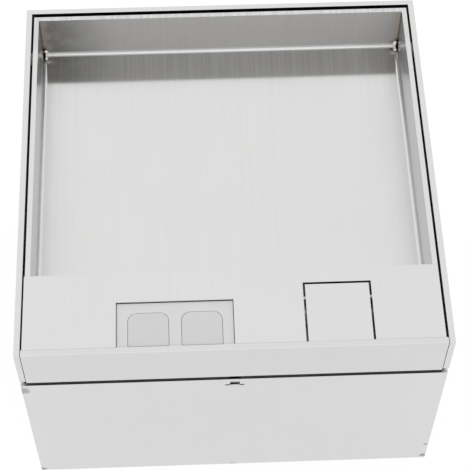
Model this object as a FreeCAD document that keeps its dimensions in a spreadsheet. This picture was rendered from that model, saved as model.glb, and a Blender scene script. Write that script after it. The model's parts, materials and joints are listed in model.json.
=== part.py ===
import FreeCAD, Part
import Sketcher
import os
import re

# Floor socket box: a folded sheet housing that is cast into the screed, a floor frame that telescopes
# in it on four levelling screws, and a tile tray lid with a cable outlet bar, hinged near its back edge.
#
# Frame of the part: +Z up, origin at the centre of the housing's underside, the outlet bar at the front (-Y).
# All lengths are millimetres.

doc = FreeCAD.newDocument("FloorSocketBox")
sheet = doc.addObject("Spreadsheet::Sheet", "Sizes")

# ---------------------------------------------------------------- driving sizes

SIZES = [
    # alias, value, what it is
    ("boxSide", 200.0, "outside width and depth of housing and floor frame"),
    ("housingHeight", 100.0, "housing, underside to rim"),
    ("housingSheet", 1.5, "sheet of the housing"),
    ("levelGap", 2.8, "open joint between housing and front plate as levelled"),
    ("levelDown", 2.5, "how far the frame still goes down"),
    ("levelUp", 12.0, "how far the frame goes up"),

    ("frameWall", 2.8, "side and back walls of the floor frame"),
    ("frameSideHeight", 26.1, "height of side and back walls"),
    ("frontPlateHeight", 27.6, "height of the front plate"),
    ("frontPlateThick", 3.0, "thickness of the front plate"),
    ("frontPlateGap", 0.2, "joint between front plate and side walls"),
    ("skirtSheet", 1.0, "sheet of the telescoping skirt"),
    ("skirtLap", 10.0, "how far the skirt is let into the frame walls"),
    ("skirtReach", 20.0, "how far the skirt reaches below the housing rim"),
    ("skirtClear", 0.3, "skirt to housing wall, and bridge to its slot"),

    ("bridgeWidth", 4.6, "width of the retaining bridge pressed into the housing wall"),
    ("bridgeHeight", 5.3, "height of the bridge, down from the housing rim"),
    ("bridgeDepth", 1.0, "how far the bridge is pressed in"),
    ("bridgeSlotWidth", 9.0, "width of the slit under the bridge"),
    ("bridgeSlotHeight", 1.0, "height of the slit under the bridge"),

    ("lidSideGap", 1.2, "lid to side walls"),
    ("lidBackGap", 2.2, "lid to back wall, room for the lid's swing"),
    ("lidFrontGap", 0.3, "lid to front plate"),
    ("traySheet", 2.4, "sheet of the lid tray"),
    ("trayDepth", 28.0, "room for tile and mortar"),
    ("trayBend", 2.2, "inside radius where tray walls meet its floor"),
    ("barDepth", 38.0, "front to back of the cable outlet bar"),
    ("barThick", 4.0, "plate of the cable outlet bar"),
    ("barOverhang", 0.4, "left end of the bar beyond the tray side"),
    ("cheekSetback", 2.0, "front edge of the tray sides behind the bar's front edge"),
    ("flangeDepth", 8.0, "tray flange under the bar, front to back"),

    ("pivotInset", 27.4, "lid pivot in front of the back face"),
    ("pivotDrop", 7.0, "lid pivot below the top"),
    ("pivotPinDia", 5.0, "lid hinge pin"),
    ("bushWall", 1.5, "wall of the hinge bush"),
    ("bushGap", 0.3, "hinge bush to tray wall"),
    ("pinInset", 0.2, "outer end of the hinge pin below the frame's face"),
    ("runClear", 0.05, "running clearance of a pin in its hole, on the radius"),
    ("seatClear", 0.02, "clearance of a fixed pin or thread in its hole, on the radius"),

    ("cableCentre", -26.9, "middle of the cable notch, left of the part's middle"),
    ("cableNotchWidth", 53.9, "cable notch, left to right"),
    ("cableNotchDepth", 22.7, "cable notch, front to back"),
    ("insertGap", 0.3, "cable insert to its notch"),
    ("insertDrop", 1.0, "top of the insert below the bar's top"),
    ("insertThick", 5.0, "thickness of the insert"),
    ("insertLip", 5.0, "side lips of the insert under the bar"),
    ("insertFlangeGap", 0.3, "back lip of the insert to the tray's flange"),
    ("flapPitch", 24.5, "middle to middle of the two cable flaps"),
    ("flapWidth", 18.3, "width of a cable flap"),
    ("flapDepth", 16.8, "cable flap, front to back"),
    ("flapThick", 2.0, "thickness of a cable flap"),
    ("flapSetback", 0.3, "front edge of a flap behind the bar's front edge"),
    ("flapCorner", 4.0, "radius of its back corners"),
    ("flapGap", 0.3, "cable flap to insert"),
    ("flapPinDia", 2.0, "hinge pin of the flaps"),
    ("flapPinInset", 2.6, "flap pin in front of the flap's back edge"),
    ("flapPinBelow", 0.6, "flap pin below the flap's underside"),
    ("barrelWall", 0.95, "wall of the flap's hinge barrels"),
    ("barrelLength", 4.4, "length of each hinge barrel"),
    ("barrelInset", 2.4, "hinge barrel in from the flap's side"),
    ("flapPinEnd", 1.2, "ends of the flap pin in from the insert's sides"),
    ("springWire", 0.5, "wire of the small torsion springs"),
    ("springTurns", 4.0, "turns of each small torsion spring"),
    ("springLeg", 7.0, "leg of each small torsion spring"),

    ("handleCentre", 48.2, "middle of the lift handle, right of the part's middle"),
    ("handleNotchWidth", 31.6, "handle notch, left to right"),
    ("handleNotchDepth", 30.3, "handle notch, front to back"),
    ("handleSlit", 1.0, "open slit round the handle"),
    ("handlePinDia", 2.0, "cross pin of the handle"),
    ("handlePinDrop", 2.4, "cross pin below the top"),
    ("handlePinInset", 6.2, "cross pin in front of the handle's back edge"),
    ("handlePinHold", 4.0, "how far the cross pin sits in the bar at each end"),
    ("cupSetback", 1.0, "front of the handle cup behind the bar's front edge"),
    ("cupSheet", 1.0, "sheet of the handle cup"),
    ("cupDepth", 12.0, "inside depth of the handle cup"),
    ("cupSideLip", 8.0, "side lips of the handle cup under the bar"),
    ("cupTrayGap", 0.7, "back lip of the handle cup to the tray's front wall"),
    ("cupFlangeGap", 1.0, "side lips to the tray's flange"),

    ("ledgeSheet", 1.5, "sheet of the lid ledges"),
    ("ledgeWidth", 8.0, "ledge, in from the skirt"),
    ("ledgeLeg", 7.0, "height of a ledge's welded leg"),
    ("ledgeStop", 22.6, "back end of a ledge in front of the lid pivot"),
    ("ledgeInset", 3.0, "front end of a ledge behind the front plate"),
    ("stripThick", 2.0, "rubber rest strip"),
    ("stripWidth", 6.0, "width of the rest strip"),
    ("stripEdge", 1.0, "rest strip in from the skirt"),
    ("restGap", 0.3, "rest strip to lid"),

    ("screwDia", 6.0, "levelling screw"),
    ("screwInset", 16.0, "levelling screw in from the outside faces"),
    ("screwKey", 3.0, "hexagon socket of the levelling screw, across flats"),
    ("screwKeyDepth", 3.5, "depth of that socket"),
    ("screwSpare", 1.0, "screw end above its nut at the top of the travel"),
    ("shelfClear", 1.5, "levelling nut above its shelf at the bottom of the travel"),
    ("lugDrop", 52.0, "top of a levelling lug below the top"),
    ("lugThick", 3.0, "plate of a levelling lug"),
    ("lugWidth", 20.0, "width of a levelling lug"),
    ("lugReach", 21.0, "levelling lug, in from the skirt"),
    ("lugLap", 10.0, "lug leg lapped on the skirt"),
    ("levelNutAcross", 10.0, "levelling nut across flats"),
    ("levelNutHeight", 5.0, "height of the levelling nut"),
    ("shelfThick", 2.5, "plate of a levelling shelf"),
    ("shelfWidth", 16.0, "width of a levelling shelf"),
    ("shelfReach", 24.0, "levelling shelf, in from the housing wall"),
    ("shelfLeg", 18.0, "height of a shelf's welded leg"),

    ("deckTop", 52.0, "top of the device plate above the underside"),
    ("deckSheet", 2.0, "sheet of the device plate"),
    ("deckGap", 1.0, "device plate to housing walls"),
    ("deckFrontRoom", 34.5, "cable room between device plate and front wall"),
    ("deckBackRoom", 28.5, "cable room between device plate and back wall"),
    ("railSheet", 2.0, "sheet of the device rails"),
    ("railWidth", 10.0, "device rail, in from the housing wall"),
    ("railLeg", 12.0, "height of a rail's welded leg"),
    ("deckScrewInset", 7.5, "device plate screws in from the housing walls' outside"),
    ("deckScrewEdge", 13.0, "device plate screws in from the plate's front and back edges"),

    ("modulePitch", 56.0, "middle to middle of the device modules"),
    ("moduleFlange", 54.0, "module flange, square"),
    ("moduleFlangeThick", 2.5, "thickness of the module flange"),
    ("moduleBody", 43.0, "module body, square"),
    ("moduleGap", 0.3, "module body to its cut-out"),
    ("moduleScrewSpacing", 49.0, "module screws, across the flange"),
    ("socketDepth", 32.0, "socket body below the device plate's top"),
    ("recessDia", 39.5, "plug recess"),
    ("recessDepth", 17.5, "depth of the plug recess"),
    ("recessFloor", 2.0, "floor of the plug recess"),
    ("contactSpacing", 19.0, "middle to middle of the two plug holes"),
    ("contactHoleDia", 5.0, "plug hole"),
    ("contactDia", 7.6, "outside of a contact sleeve"),
    ("contactBore", 4.9, "bore of a contact sleeve"),
    ("contactGap", 0.2, "contact sleeve to its pocket"),
    ("terminalWidth", 9.0, "terminal block, left to right"),
    ("terminalDepth", 7.0, "terminal block, front to back"),
    ("terminalHeight", 8.0, "height of the terminal block"),
    ("clipWidth", 6.0, "earth clip"),
    ("clipSheet", 0.8, "sheet of the earth clip"),
    ("clipHeight", 12.0, "earth clip above the recess floor"),
    ("clipGap", 0.3, "earth clip to its slots"),

    ("jackSide", 16.0, "data jack, square"),
    ("jackHeight", 26.0, "height of the data jack"),
    ("jackPitch", 21.0, "middle to middle of the two data jacks"),
    ("jackPortWidth", 11.8, "plug port of the data jack, left to right"),
    ("jackPortDepth", 8.2, "plug port of the data jack, front to back"),
    ("jackPortReach", 13.0, "depth of the plug port"),
    ("jackPins", 8.0, "contacts in a data jack"),
    ("jackPinPitch", 1.02, "contact spacing in a data jack"),
    ("jackPinWidth", 0.4, "width of a data contact"),

    ("smallScrewDia", 2.5, "screws of the cable insert"),
    ("cupScrewDia", 3.0, "screws of the handle cup and the device modules"),
    ("mainScrewDia", 4.0, "screws and studs of bar, device plate and cable saddle"),
    ("screwBite", 3.0, "depth of the tapped holes in the bar"),
    ("screwHole", 0.3, "clearance hole round a screw, on the radius"),
    ("studLength", 9.0, "weld stud under the bar"),
    ("studMargin", 11.4, "last stud left of the handle cup in from the tray flange's end"),
    ("studInset", 12.0, "outer weld studs in from the lid's sides"),
    ("studNutAcross", 7.0, "weld stud nut across flats"),
    ("studNutHeight", 3.2, "height of the weld stud nut"),

    ("entryDia", 25.4, "conduit entry for a 25 mm conduit adapter"),
    ("entryHeight", 22.0, "conduit entries above the underside"),
    ("entrySpacing", 60.0, "conduit entries, middle to middle"),
    ("knockoutSlit", 0.8, "slit round a knock-out blank"),
    ("knockoutBridge", 3.0, "width of the bridges that hold a blank"),
    ("fixingAcross", 120.0, "floor fixing holes, middle to middle, left to right"),
    ("fixingAlong", 150.0, "floor fixing holes, middle to middle, front to back"),
    ("fixingDia", 6.6, "floor fixing hole"),

    ("frontRowInset", 26.5, "earth stud and cable saddle, in from the front wall"),
    ("earthX", 40.0, "earth stud right of the middle"),
    ("earthDia", 6.0, "earth stud"),
    ("earthLength", 20.0, "length of the earth stud"),
    ("saddleX", -50.0, "cable saddle left of the middle"),
    ("saddleSpan", 24.0, "room under the cable saddle, front to back"),
    ("saddleRise", 10.0, "room under the cable saddle, upward"),
    ("saddleFoot", 9.0, "foot of the cable saddle"),
    ("saddleWidth", 10.0, "width of the cable saddle"),
    ("saddleSheet", 2.0, "sheet of the cable saddle"),
]

# Places worked out from the driving sizes, written in the same words.
DERIVED = {
    "half": "boxSide / 2",
    "housingIn": "half - housingSheet",
    "frameBase": "housingHeight + levelGap",
    "topZ": "frameBase + frontPlateHeight",
    "sideBase": "topZ - frameSideHeight",
    "frameIn": "half - frameWall",
    "frontIn": "half - frontPlateThick",
    "skirtOut": "housingIn - skirtClear",
    "skirtIn": "skirtOut - skirtSheet",
    "skirtBase": "housingHeight - skirtReach",

    "lidHalf": "frameIn - lidSideGap",
    "lidBack": "frameIn - lidBackGap",
    "lidFront": "lidFrontGap - frontIn",
    "barBack": "lidFront + barDepth",
    "barBase": "topZ - barThick",
    "trayBase": "topZ - trayDepth - traySheet",
    "trayIn": "lidHalf - traySheet",
    "pivotY": "half - pivotInset",
    "pivotZ": "topZ - pivotDrop",
    "pinR": "pivotPinDia / 2",
    "bushR": "pinR + runClear + bushWall",

    "cableLeft": "cableCentre - cableNotchWidth / 2",
    "cableRight": "cableCentre + cableNotchWidth / 2",
    "cableBack": "lidFront + cableNotchDepth",
    "insertTop": "topZ - insertDrop",
    "insertBase": "insertTop - insertThick",
    "flapFront": "lidFront + flapSetback",
    "flapBack": "flapFront + flapDepth",
    "flapBase": "insertTop - flapThick",
    "flapPinY": "flapBack - flapPinInset",
    "flapPinZ": "flapBase - flapPinBelow",
    "flapPinR": "flapPinDia / 2",
    "barrelR": "flapPinR + runClear + barrelWall",
    "flapPinLeft": "cableLeft + insertGap + flapPinEnd",
    "flapPinRight": "cableRight - insertGap - flapPinEnd",
    "coilStep": "springWire * 0.95",
    "springLegX": "coilStep * (springTurns - 1) / 2",

    "handleLeft": "handleCentre - handleNotchWidth / 2",
    "handleRight": "handleCentre + handleNotchWidth / 2",
    "handleNotchBack": "lidFront + handleNotchDepth",
    "handleBack": "handleNotchBack - handleSlit",
    "handlePinY": "handleBack - handlePinInset",
    "handlePinZ": "topZ - handlePinDrop",
    "handlePinR": "handlePinDia / 2",
    "cupFloor": "barBase - cupDepth",
    "flangeBack": "barBack - traySheet",
    "flangeFront": "flangeBack - flangeDepth",
    "flangeLeftEnd": "handleLeft - cupSideLip - cupFlangeGap",
    "flangeRightEnd": "handleRight + cupSideLip + cupFlangeGap",
    "flangeBase": "barBase - traySheet",
    "studY": "flangeBack - flangeDepth / 2",

    "ledgeTop": "trayBase - restGap - stripThick",
    "ledgeFront": "ledgeInset - frontIn",
    "ledgeBack": "pivotY - ledgeStop",
    "screwXY": "half - screwInset",
    "screwR": "screwDia / 2",
    "lugTop": "topZ - lugDrop",
    "lugBase": "lugTop - lugThick",
    "nutBase": "lugBase - levelNutHeight",
    "shelfTop": "nutBase - levelDown - shelfClear",
    "screwTop": "shelfTop + shelfClear + levelDown + levelNutHeight + levelUp + screwSpare",

    "frontRow": "frontRowInset - housingIn",
    "deckBase": "deckTop - deckSheet",
    "deckHalf": "housingIn - deckGap",
    "deckScrewX": "half - deckScrewInset",
    "deckFront": "deckFrontRoom - housingIn",
    "deckBack": "housingIn - deckBackRoom",
    "moduleRow": "(deckBack + deckFront) / 2",
    "flangeTop": "deckTop + moduleFlangeThick",
    "recessZ": "flangeTop - recessDepth",
    "webBase": "recessZ - recessFloor",
    "socketBase": "deckTop - socketDepth",
}

ALIASES = {alias for alias, _, _ in SIZES}
for row, (alias, value, note) in enumerate(SIZES, start=1):
    sheet.set(f"A{row}", alias)
    sheet.set(f"B{row}", str(value))
    sheet.set(f"C{row}", note)
    sheet.setAlias(f"B{row}", alias)
doc.recompute()


def formula(text):
    """A size formula with every word spelled out as cells of the sheet."""
    def spell(match):
        word = match.group(0)
        if word in DERIVED:
            return "(" + formula(DERIVED[word]) + ")"
        return "Sizes." + word if word in ALIASES else word
    return re.sub(r"[A-Za-z]\w*", spell, str(text))


def count(alias):
    """A whole number read from the sheet."""
    return int(round(float(sheet.get(alias))))


# ---------------------------------------------------------------- Part helpers

TURN = {
    "x": FreeCAD.Rotation(FreeCAD.Vector(0, 1, 0), 90),
    "y": FreeCAD.Rotation(FreeCAD.Vector(1, 0, 0), -90),
    "z": FreeCAD.Rotation(),
}


def place(obj, x, y, z):
    for axis, value in zip("xyz", (x, y, z)):
        obj.setExpression(f"Placement.Base.{axis}", formula(value))
    return obj


def box(x, y, z):
    """A block that spans x, y and z, each a (low, high) pair of formulas."""
    block = doc.addObject("Part::Box", "Block")
    for side, (low, high) in zip(("Length", "Width", "Height"), (x, y, z)):
        block.setExpression(side, formula(f"({high}) - ({low})"))
    return place(block, x[0], y[0], z[0])


def centred(x, y, z, wide, deep):
    """A block centred on x and y; z is a (low, high) pair."""
    return box((f"{x} - ({wide}) / 2", f"{x} + ({wide}) / 2"),
               (f"{y} - ({deep}) / 2", f"{y} + ({deep}) / 2"), z)


def rod(axis, radius, x, y, z):
    """A cylinder along axis; the axis coordinate is a (low, high) pair, the other two are single."""
    cylinder = doc.addObject("Part::Cylinder", "Rod")
    ends = {"x": x, "y": y, "z": z}
    low, high = ends[axis]
    ends[axis] = low
    cylinder.Placement = FreeCAD.Placement(FreeCAD.Vector(), TURN[axis])
    cylinder.setExpression("Radius", formula(radius))
    cylinder.setExpression("Height", formula(f"({high}) - ({low})"))
    return place(cylinder, ends["x"], ends["y"], ends["z"])


def prism(sides, across, x, y, z):
    """An upright regular prism, measured across its flats; z is a (low, high) pair."""
    block = doc.addObject("Part::Prism", "Prism")
    block.Polygon = sides
    block.setExpression("Circumradius", formula(f"({across}) / 2 / cos(180 / {sides})"))
    block.setExpression("Height", formula(f"({z[1]}) - ({z[0]})"))
    return place(block, x, y, z[0])


def fuse(*shapes):
    if len(shapes) == 1:
        return shapes[0]
    joined = doc.addObject("Part::MultiFuse", "Joined")
    joined.Shapes = list(shapes)
    return joined


def cut(base, *tools):
    result = doc.addObject("Part::Cut", "Cut")
    result.Base = base
    result.Tool = fuse(*tools)
    return result


def group(*shapes):
    """Separate solids kept as one sub-part."""
    loose = doc.addObject("Part::Compound", "Group")
    loose.Links = list(shapes)
    return loose


def tube(axis, outer, inner, x, y, z):
    return cut(rod(axis, outer, x, y, z), rod(axis, inner, x, y, z))


def ring(low, high, outer, inner):
    """A square ring about the part's middle, from z low to z high."""
    span, hole = (f"-({outer})", outer), (f"-({inner})", inner)
    return cut(box(span, span, (low, high)), box(hole, hole, (f"{low} - 1", f"{high} + 1")))


# ---------------------------------------------------------------- PartDesign helpers

def new_body(name):
    return doc.addObject("PartDesign::Body", name)


def sketch_on(body, role, offset="0"):
    """A sketch on one of the body's own origin planes, raised along the plane's normal."""
    plane = next(feature for feature in body.Origin.OriginFeatures if feature.Role == role)
    sketch = body.newObject("Sketcher::SketchObject", "Sketch")
    sketch.AttachmentSupport = (plane, "")
    sketch.MapMode = "FlatFace"
    sketch.setExpression("AttachmentOffset.Base.z", formula(offset))
    return sketch


def fix_point(sketch, geometry, point, x, y):
    """Ties one point of a sketch to a place given by formulas."""
    for kind, value in (("DistanceX", x), ("DistanceY", y)):
        index = sketch.addConstraint(Sketcher.Constraint(kind, -1, 1, geometry, point, 1.0))
        sketch.setExpression(f"Constraints[{index}]", formula(value))


def rectangle(sketch, x, y):
    """A rectangle that spans x and y, each a (low, high) pair of formulas."""
    corners = [FreeCAD.Vector(*corner) for corner in ((1, 1, 0), (2, 1, 0), (2, 2, 0), (1, 2, 0))]
    first = sketch.addGeometry(Part.LineSegment(corners[0], corners[1]))
    for start in (1, 2, 3):
        sketch.addGeometry(Part.LineSegment(corners[start], corners[(start + 1) % 4]))
    for side in range(4):
        sketch.addConstraint(Sketcher.Constraint("Coincident", first + side, 2, first + (side + 1) % 4, 1))
        level = "Horizontal" if side % 2 == 0 else "Vertical"
        sketch.addConstraint(Sketcher.Constraint(level, first + side))
    fix_point(sketch, first, 1, x[0], y[0])
    fix_point(sketch, first + 1, 2, x[1], y[1])


def circle(sketch, x, y, radius):
    round_edge = Part.Circle(FreeCAD.Vector(1, 1, 0), FreeCAD.Vector(0, 0, 1), 1)
    index = sketch.addGeometry(round_edge)
    fix_point(sketch, index, 3, x, y)
    size = sketch.addConstraint(Sketcher.Constraint("Radius", index, 1.0))
    sketch.setExpression(f"Constraints[{size}]", formula(radius))


def pad(body, sketch, length, reverse=False):
    feature = body.newObject("PartDesign::Pad", "Pad")
    feature.Profile = sketch
    feature.Reversed = reverse
    feature.setExpression("Length", formula(length))
    return feature


def pocket(body, sketch, depth, reverse=False):
    """A pocket; it points against the sketch's normal unless reversed."""
    feature = body.newObject("PartDesign::Pocket", "Pocket")
    feature.Profile = sketch
    feature.Reversed = reverse
    feature.setExpression("Length", formula(depth))
    return feature


# ---------------------------------------------------------------- small repeated shapes

NODES = {}


def node(name, obj):
    """Files an object under the name of its sub-part."""
    obj.Label = name
    NODES[name] = obj


def mirrored(side, low, high):
    """A (low, high) pair on the right (+1), or its mirror image on the left (-1)."""
    return (low, high) if side > 0 else (f"-({high})", f"-({low})")


def signed(side, value):
    return value if side > 0 else f"-({value})"


def screw_down(x, y, seat, dia, depth):
    """A pan-head screw whose head sits on z = seat and whose shank goes down."""
    head = rod("z", f"{dia} * 0.85", x, y, (seat, f"{seat} + {dia} * 0.55"))
    shank = rod("z", f"{dia} / 2", x, y, (f"{seat} - ({depth})", f"{seat} + 0.1"))
    return fuse(head, shank)


def screw_up(x, y, seat, dia, depth):
    """A pan-head screw whose head hangs under z = seat and whose shank goes up."""
    head = rod("z", f"{dia} * 0.85", x, y, (f"{seat} - {dia} * 0.55", seat))
    shank = rod("z", f"{dia} / 2", x, y, (f"{seat} - 0.1", f"{seat} + {depth}"))
    return fuse(head, shank)


def nut(across, dia, x, y, low, high):
    body = prism(6, across, x, y, (low, high))
    return cut(body, rod("z", f"{dia} / 2 + seatClear", x, y, (f"{low} - 1", f"{high} + 1")))


def torsion_spring(middle, y, z, pin_radius, leg_z):
    """Close-wound coil round a cross pin, with one leg that bears on the turning piece towards the front."""
    turns = count("springTurns")
    mean = f"{pin_radius} + 3 * runClear + springWire / 2"
    coils = []
    for turn in range(turns):
        coil = doc.addObject("Part::Torus", "Coil")
        coil.Placement = FreeCAD.Placement(FreeCAD.Vector(), TURN["x"])
        coil.setExpression("Radius1", formula(mean))
        coil.setExpression("Radius2", formula("springWire / 2"))
        coils.append(place(coil, f"{middle} + coilStep * {turn} - springLegX", y, z))
    leg = rod("y", "springWire / 2", f"{middle} + springLegX", (f"{y} - springLeg", f"{y} - ({mean})"), leg_z)
    return fuse(*coils, leg)


# ---------------------------------------------------------------- housing and what is fixed in it

def make_housing():
    body = new_body("housing")
    edge = ("-half", "half")
    inside = ("-housingIn", "housingIn")

    outline = sketch_on(body, "XY_Plane")
    rectangle(outline, edge, edge)
    pad(body, outline, "housingHeight")

    hollow = sketch_on(body, "XY_Plane", "housingHeight")
    rectangle(hollow, inside, inside)
    pocket(body, hollow, "housingHeight - housingSheet")

    fixings = sketch_on(body, "XY_Plane", "housingSheet")
    for x in (-1, 1):
        for y in (-1, 1):
            circle(fixings, signed(x, "fixingAcross / 2"), signed(y, "fixingAlong / 2"), "fixingDia / 2")
    for y in (-1, 1):
        foot = signed(y, "(saddleSpan / 2 + saddleFoot / 2 + saddleSheet)")
        circle(fixings, "saddleX", f"frontRow + {foot}", "mainScrewDia / 2 + seatClear")
    pocket(body, fixings, "housingSheet + 1")

    entries = sketch_on(body, "YZ_Plane", "-half - 1")
    for y in (-1, 1):
        circle(entries, signed(y, "entrySpacing / 2"), "entryHeight", "entryDia / 2")
    pocket(body, entries, "housingSheet + 2", reverse=True)

    for plane, offset, against in (("YZ_Plane", "half", False), ("XZ_Plane", "-half", True)):
        slits = sketch_on(body, plane, offset)
        bridges = sketch_on(body, plane, offset)
        for y in (-1, 1):
            middle = signed(y, "entrySpacing / 2")
            circle(slits, middle, "entryHeight", "entryDia / 2")
            circle(slits, middle, "entryHeight", "entryDia / 2 - knockoutSlit")
            rectangle(bridges, (f"{middle} - knockoutBridge / 2", f"{middle} + knockoutBridge / 2"),
                      ("entryHeight - entryDia / 2 - 1", "entryHeight + entryDia / 2 + 1"))
        pocket(body, slits, "housingSheet + 0.5", reverse=against)
        pad(body, bridges, "housingSheet", reverse=not against)

    for offset, inward in (("half", False), ("-half", True)):
        recess = sketch_on(body, "XZ_Plane", offset)
        rectangle(recess, ("-bridgeWidth / 2", "bridgeWidth / 2"),
                  ("housingHeight - bridgeHeight", "housingHeight + 1"))
        pocket(body, recess, "bridgeDepth", reverse=inward)
        bridge = sketch_on(body, "XZ_Plane", signed(-1 if inward else 1, "housingIn"))
        rectangle(bridge, ("-bridgeWidth / 2", "bridgeWidth / 2"),
                  ("housingHeight - bridgeHeight", "housingHeight"))
        pad(body, bridge, "bridgeDepth", reverse=not inward)
        slit = sketch_on(body, "XZ_Plane", offset)
        rectangle(slit, ("-bridgeSlotWidth / 2", "bridgeSlotWidth / 2"),
                  ("housingHeight - bridgeHeight - bridgeSlotHeight", "housingHeight - bridgeHeight"))
        pocket(body, slit, "housingSheet + bridgeDepth + 1", reverse=inward)
    node("housing", body)


def make_levelling_shelves():
    shelves = []
    for x in (-1, 1):
        for y in (-1, 1):
            across = mirrored(y, "screwXY - shelfWidth / 2", "screwXY + shelfWidth / 2")
            plate = box(mirrored(x, "housingIn - shelfReach", "housingIn"), across,
                        ("shelfTop - shelfThick", "shelfTop"))
            leg = box(mirrored(x, "housingIn - shelfThick", "housingIn"), across,
                      ("shelfTop - shelfLeg", "shelfTop"))
            shelves.append(fuse(plate, leg))
    node("levelling_shelves", group(*shelves))


def deck_screw_places():
    for x in (-1, 1):
        for y in ("deckFront + deckScrewEdge", "deckBack - deckScrewEdge"):
            yield x, signed(x, "deckScrewX"), y


def make_device_rails():
    for x, name in ((-1, "device_rail_left"), (1, "device_rail_right")):
        along = ("deckFront + railSheet", "deckBack - railSheet")
        plate = box(mirrored(x, "housingIn - railWidth", "housingIn"), along,
                    ("deckBase - railSheet", "deckBase"))
        leg = box(mirrored(x, "housingIn - railSheet", "housingIn"), along,
                  ("deckBase - railLeg", "deckBase"))
        depth = ("deckBase - railSheet - 1", "deckBase + 1")
        holes = [rod("z", "mainScrewDia / 2 + seatClear", hole_x, hole_y, depth)
                 for side, hole_x, hole_y in deck_screw_places() if side == x]
        node(name, cut(fuse(plate, leg), *holes))


def module_places():
    """Middle of each device module on X, from left to right: two sockets and the data module."""
    return ["-modulePitch", "0", "modulePitch"]


def make_device_plate():
    body = new_body("device_plate")
    outline = sketch_on(body, "XY_Plane", "deckBase")
    rectangle(outline, ("-deckHalf", "deckHalf"), ("deckFront", "deckBack"))
    pad(body, outline, "deckSheet")

    opening = sketch_on(body, "XY_Plane", "deckTop")
    reach = "(moduleBody / 2 + moduleGap)"
    rectangle(opening, (f"-modulePitch - {reach}", f"-modulePitch + {reach}"),
              (f"moduleRow - {reach}", f"moduleRow + {reach}"))
    first = pocket(body, opening, "deckSheet + 1")
    row = body.newObject("PartDesign::LinearPattern", "ModuleRow")
    row.Originals = [first]
    row.Direction = (opening, ["H_Axis"])
    row.setExpression("Length", formula("2 * modulePitch"))
    row.Occurrences = 3
    body.Tip = row

    holes = sketch_on(body, "XY_Plane", "deckTop")
    for middle in module_places():
        for side in (-1, 1):
            circle(holes, f"{middle} + {side} * moduleScrewSpacing / 2", "moduleRow",
                   "cupScrewDia / 2 + seatClear")
    for _, x, y in deck_screw_places():
        circle(holes, x, y, "mainScrewDia / 2 + screwHole")
    pocket(body, holes, "deckSheet + 1")
    node("device_plate", body)


def make_deck_screws():
    screws = [screw_down(x, y, "deckTop", "mainScrewDia", "deckSheet + railSheet + 2")
              for _, x, y in deck_screw_places()]
    node("device_plate_screws", group(*screws))
    screws = [screw_down(f"{middle} + {side} * moduleScrewSpacing / 2", "moduleRow", "flangeTop",
                         "cupScrewDia", "moduleFlangeThick + deckSheet")
              for middle in module_places() for side in (-1, 1)]
    node("module_screws", group(*screws))


def module_flange(middle):
    flange = centred(middle, "moduleRow", ("deckTop", "flangeTop"), "moduleFlange", "moduleFlange")
    holes = [rod("z", "cupScrewDia / 2 + seatClear", f"{middle} + {side} * moduleScrewSpacing / 2",
                 "moduleRow", ("deckTop - 1", "flangeTop + 1")) for side in (-1, 1)]
    return cut(flange, *holes)


def make_sockets():
    contacts = []
    for index, middle in enumerate(module_places()[:2], start=1):
        block = centred(middle, "moduleRow", ("socketBase", "deckTop + 0.1"), "moduleBody", "moduleBody")
        recess = rod("z", "recessDia / 2", middle, "moduleRow", ("recessZ", "flangeTop + 1"))
        channel = centred(middle, "moduleRow", ("socketBase - 1", "webBase"),
                          "clipWidth + 2 * clipGap", "recessDia")
        tools = [recess, channel]
        leaf_out = "(recessDia / 2 - clipGap)"
        leaf_in = f"({leaf_out} - clipSheet)"
        leaves = []
        for side in (-1, 1):
            low, high = mirrored(side, leaf_in, leaf_out)
            leaves.append(box((f"{middle} - clipWidth / 2", f"{middle} + clipWidth / 2"),
                              (f"moduleRow + {low}", f"moduleRow + {high}"),
                              ("webBase - clipGap - clipSheet", "recessZ + clipHeight")))
            tools.append(box((f"{middle} - clipWidth / 2 - clipGap", f"{middle} + clipWidth / 2 + clipGap"),
                             (f"moduleRow + {low} - clipGap", f"moduleRow + {high} + clipGap"),
                             ("webBase - 1", "recessZ + 1")))
            x = f"{middle} + {side} * contactSpacing / 2"
            tools.append(rod("z", "contactDia / 2 + contactGap", x, "moduleRow",
                             ("socketBase - 1", "webBase")))
            tools.append(rod("z", "contactHoleDia / 2", x, "moduleRow", ("webBase - 1", "recessZ + 1")))
            sleeve = rod("z", "contactDia / 2", x, "moduleRow", ("socketBase - 0.1", "webBase - contactGap"))
            bore = rod("z", "contactBore / 2", x, "moduleRow", ("socketBase", "webBase"))
            terminal = centred(x, "moduleRow", ("socketBase - terminalHeight", "socketBase"),
                               "terminalWidth", "terminalDepth")
            contacts.append(cut(fuse(sleeve, terminal), bore))
        bridge = centred(middle, "moduleRow", ("webBase - clipGap - clipSheet", "webBase - clipGap"),
                         "clipWidth", f"2 * {leaf_out}")
        node(f"socket_body_{index}", cut(fuse(module_flange(middle), block), *tools))
        node(f"earth_clip_{index}", fuse(*leaves, bridge))
    node("socket_contacts", group(*contacts))


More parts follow.
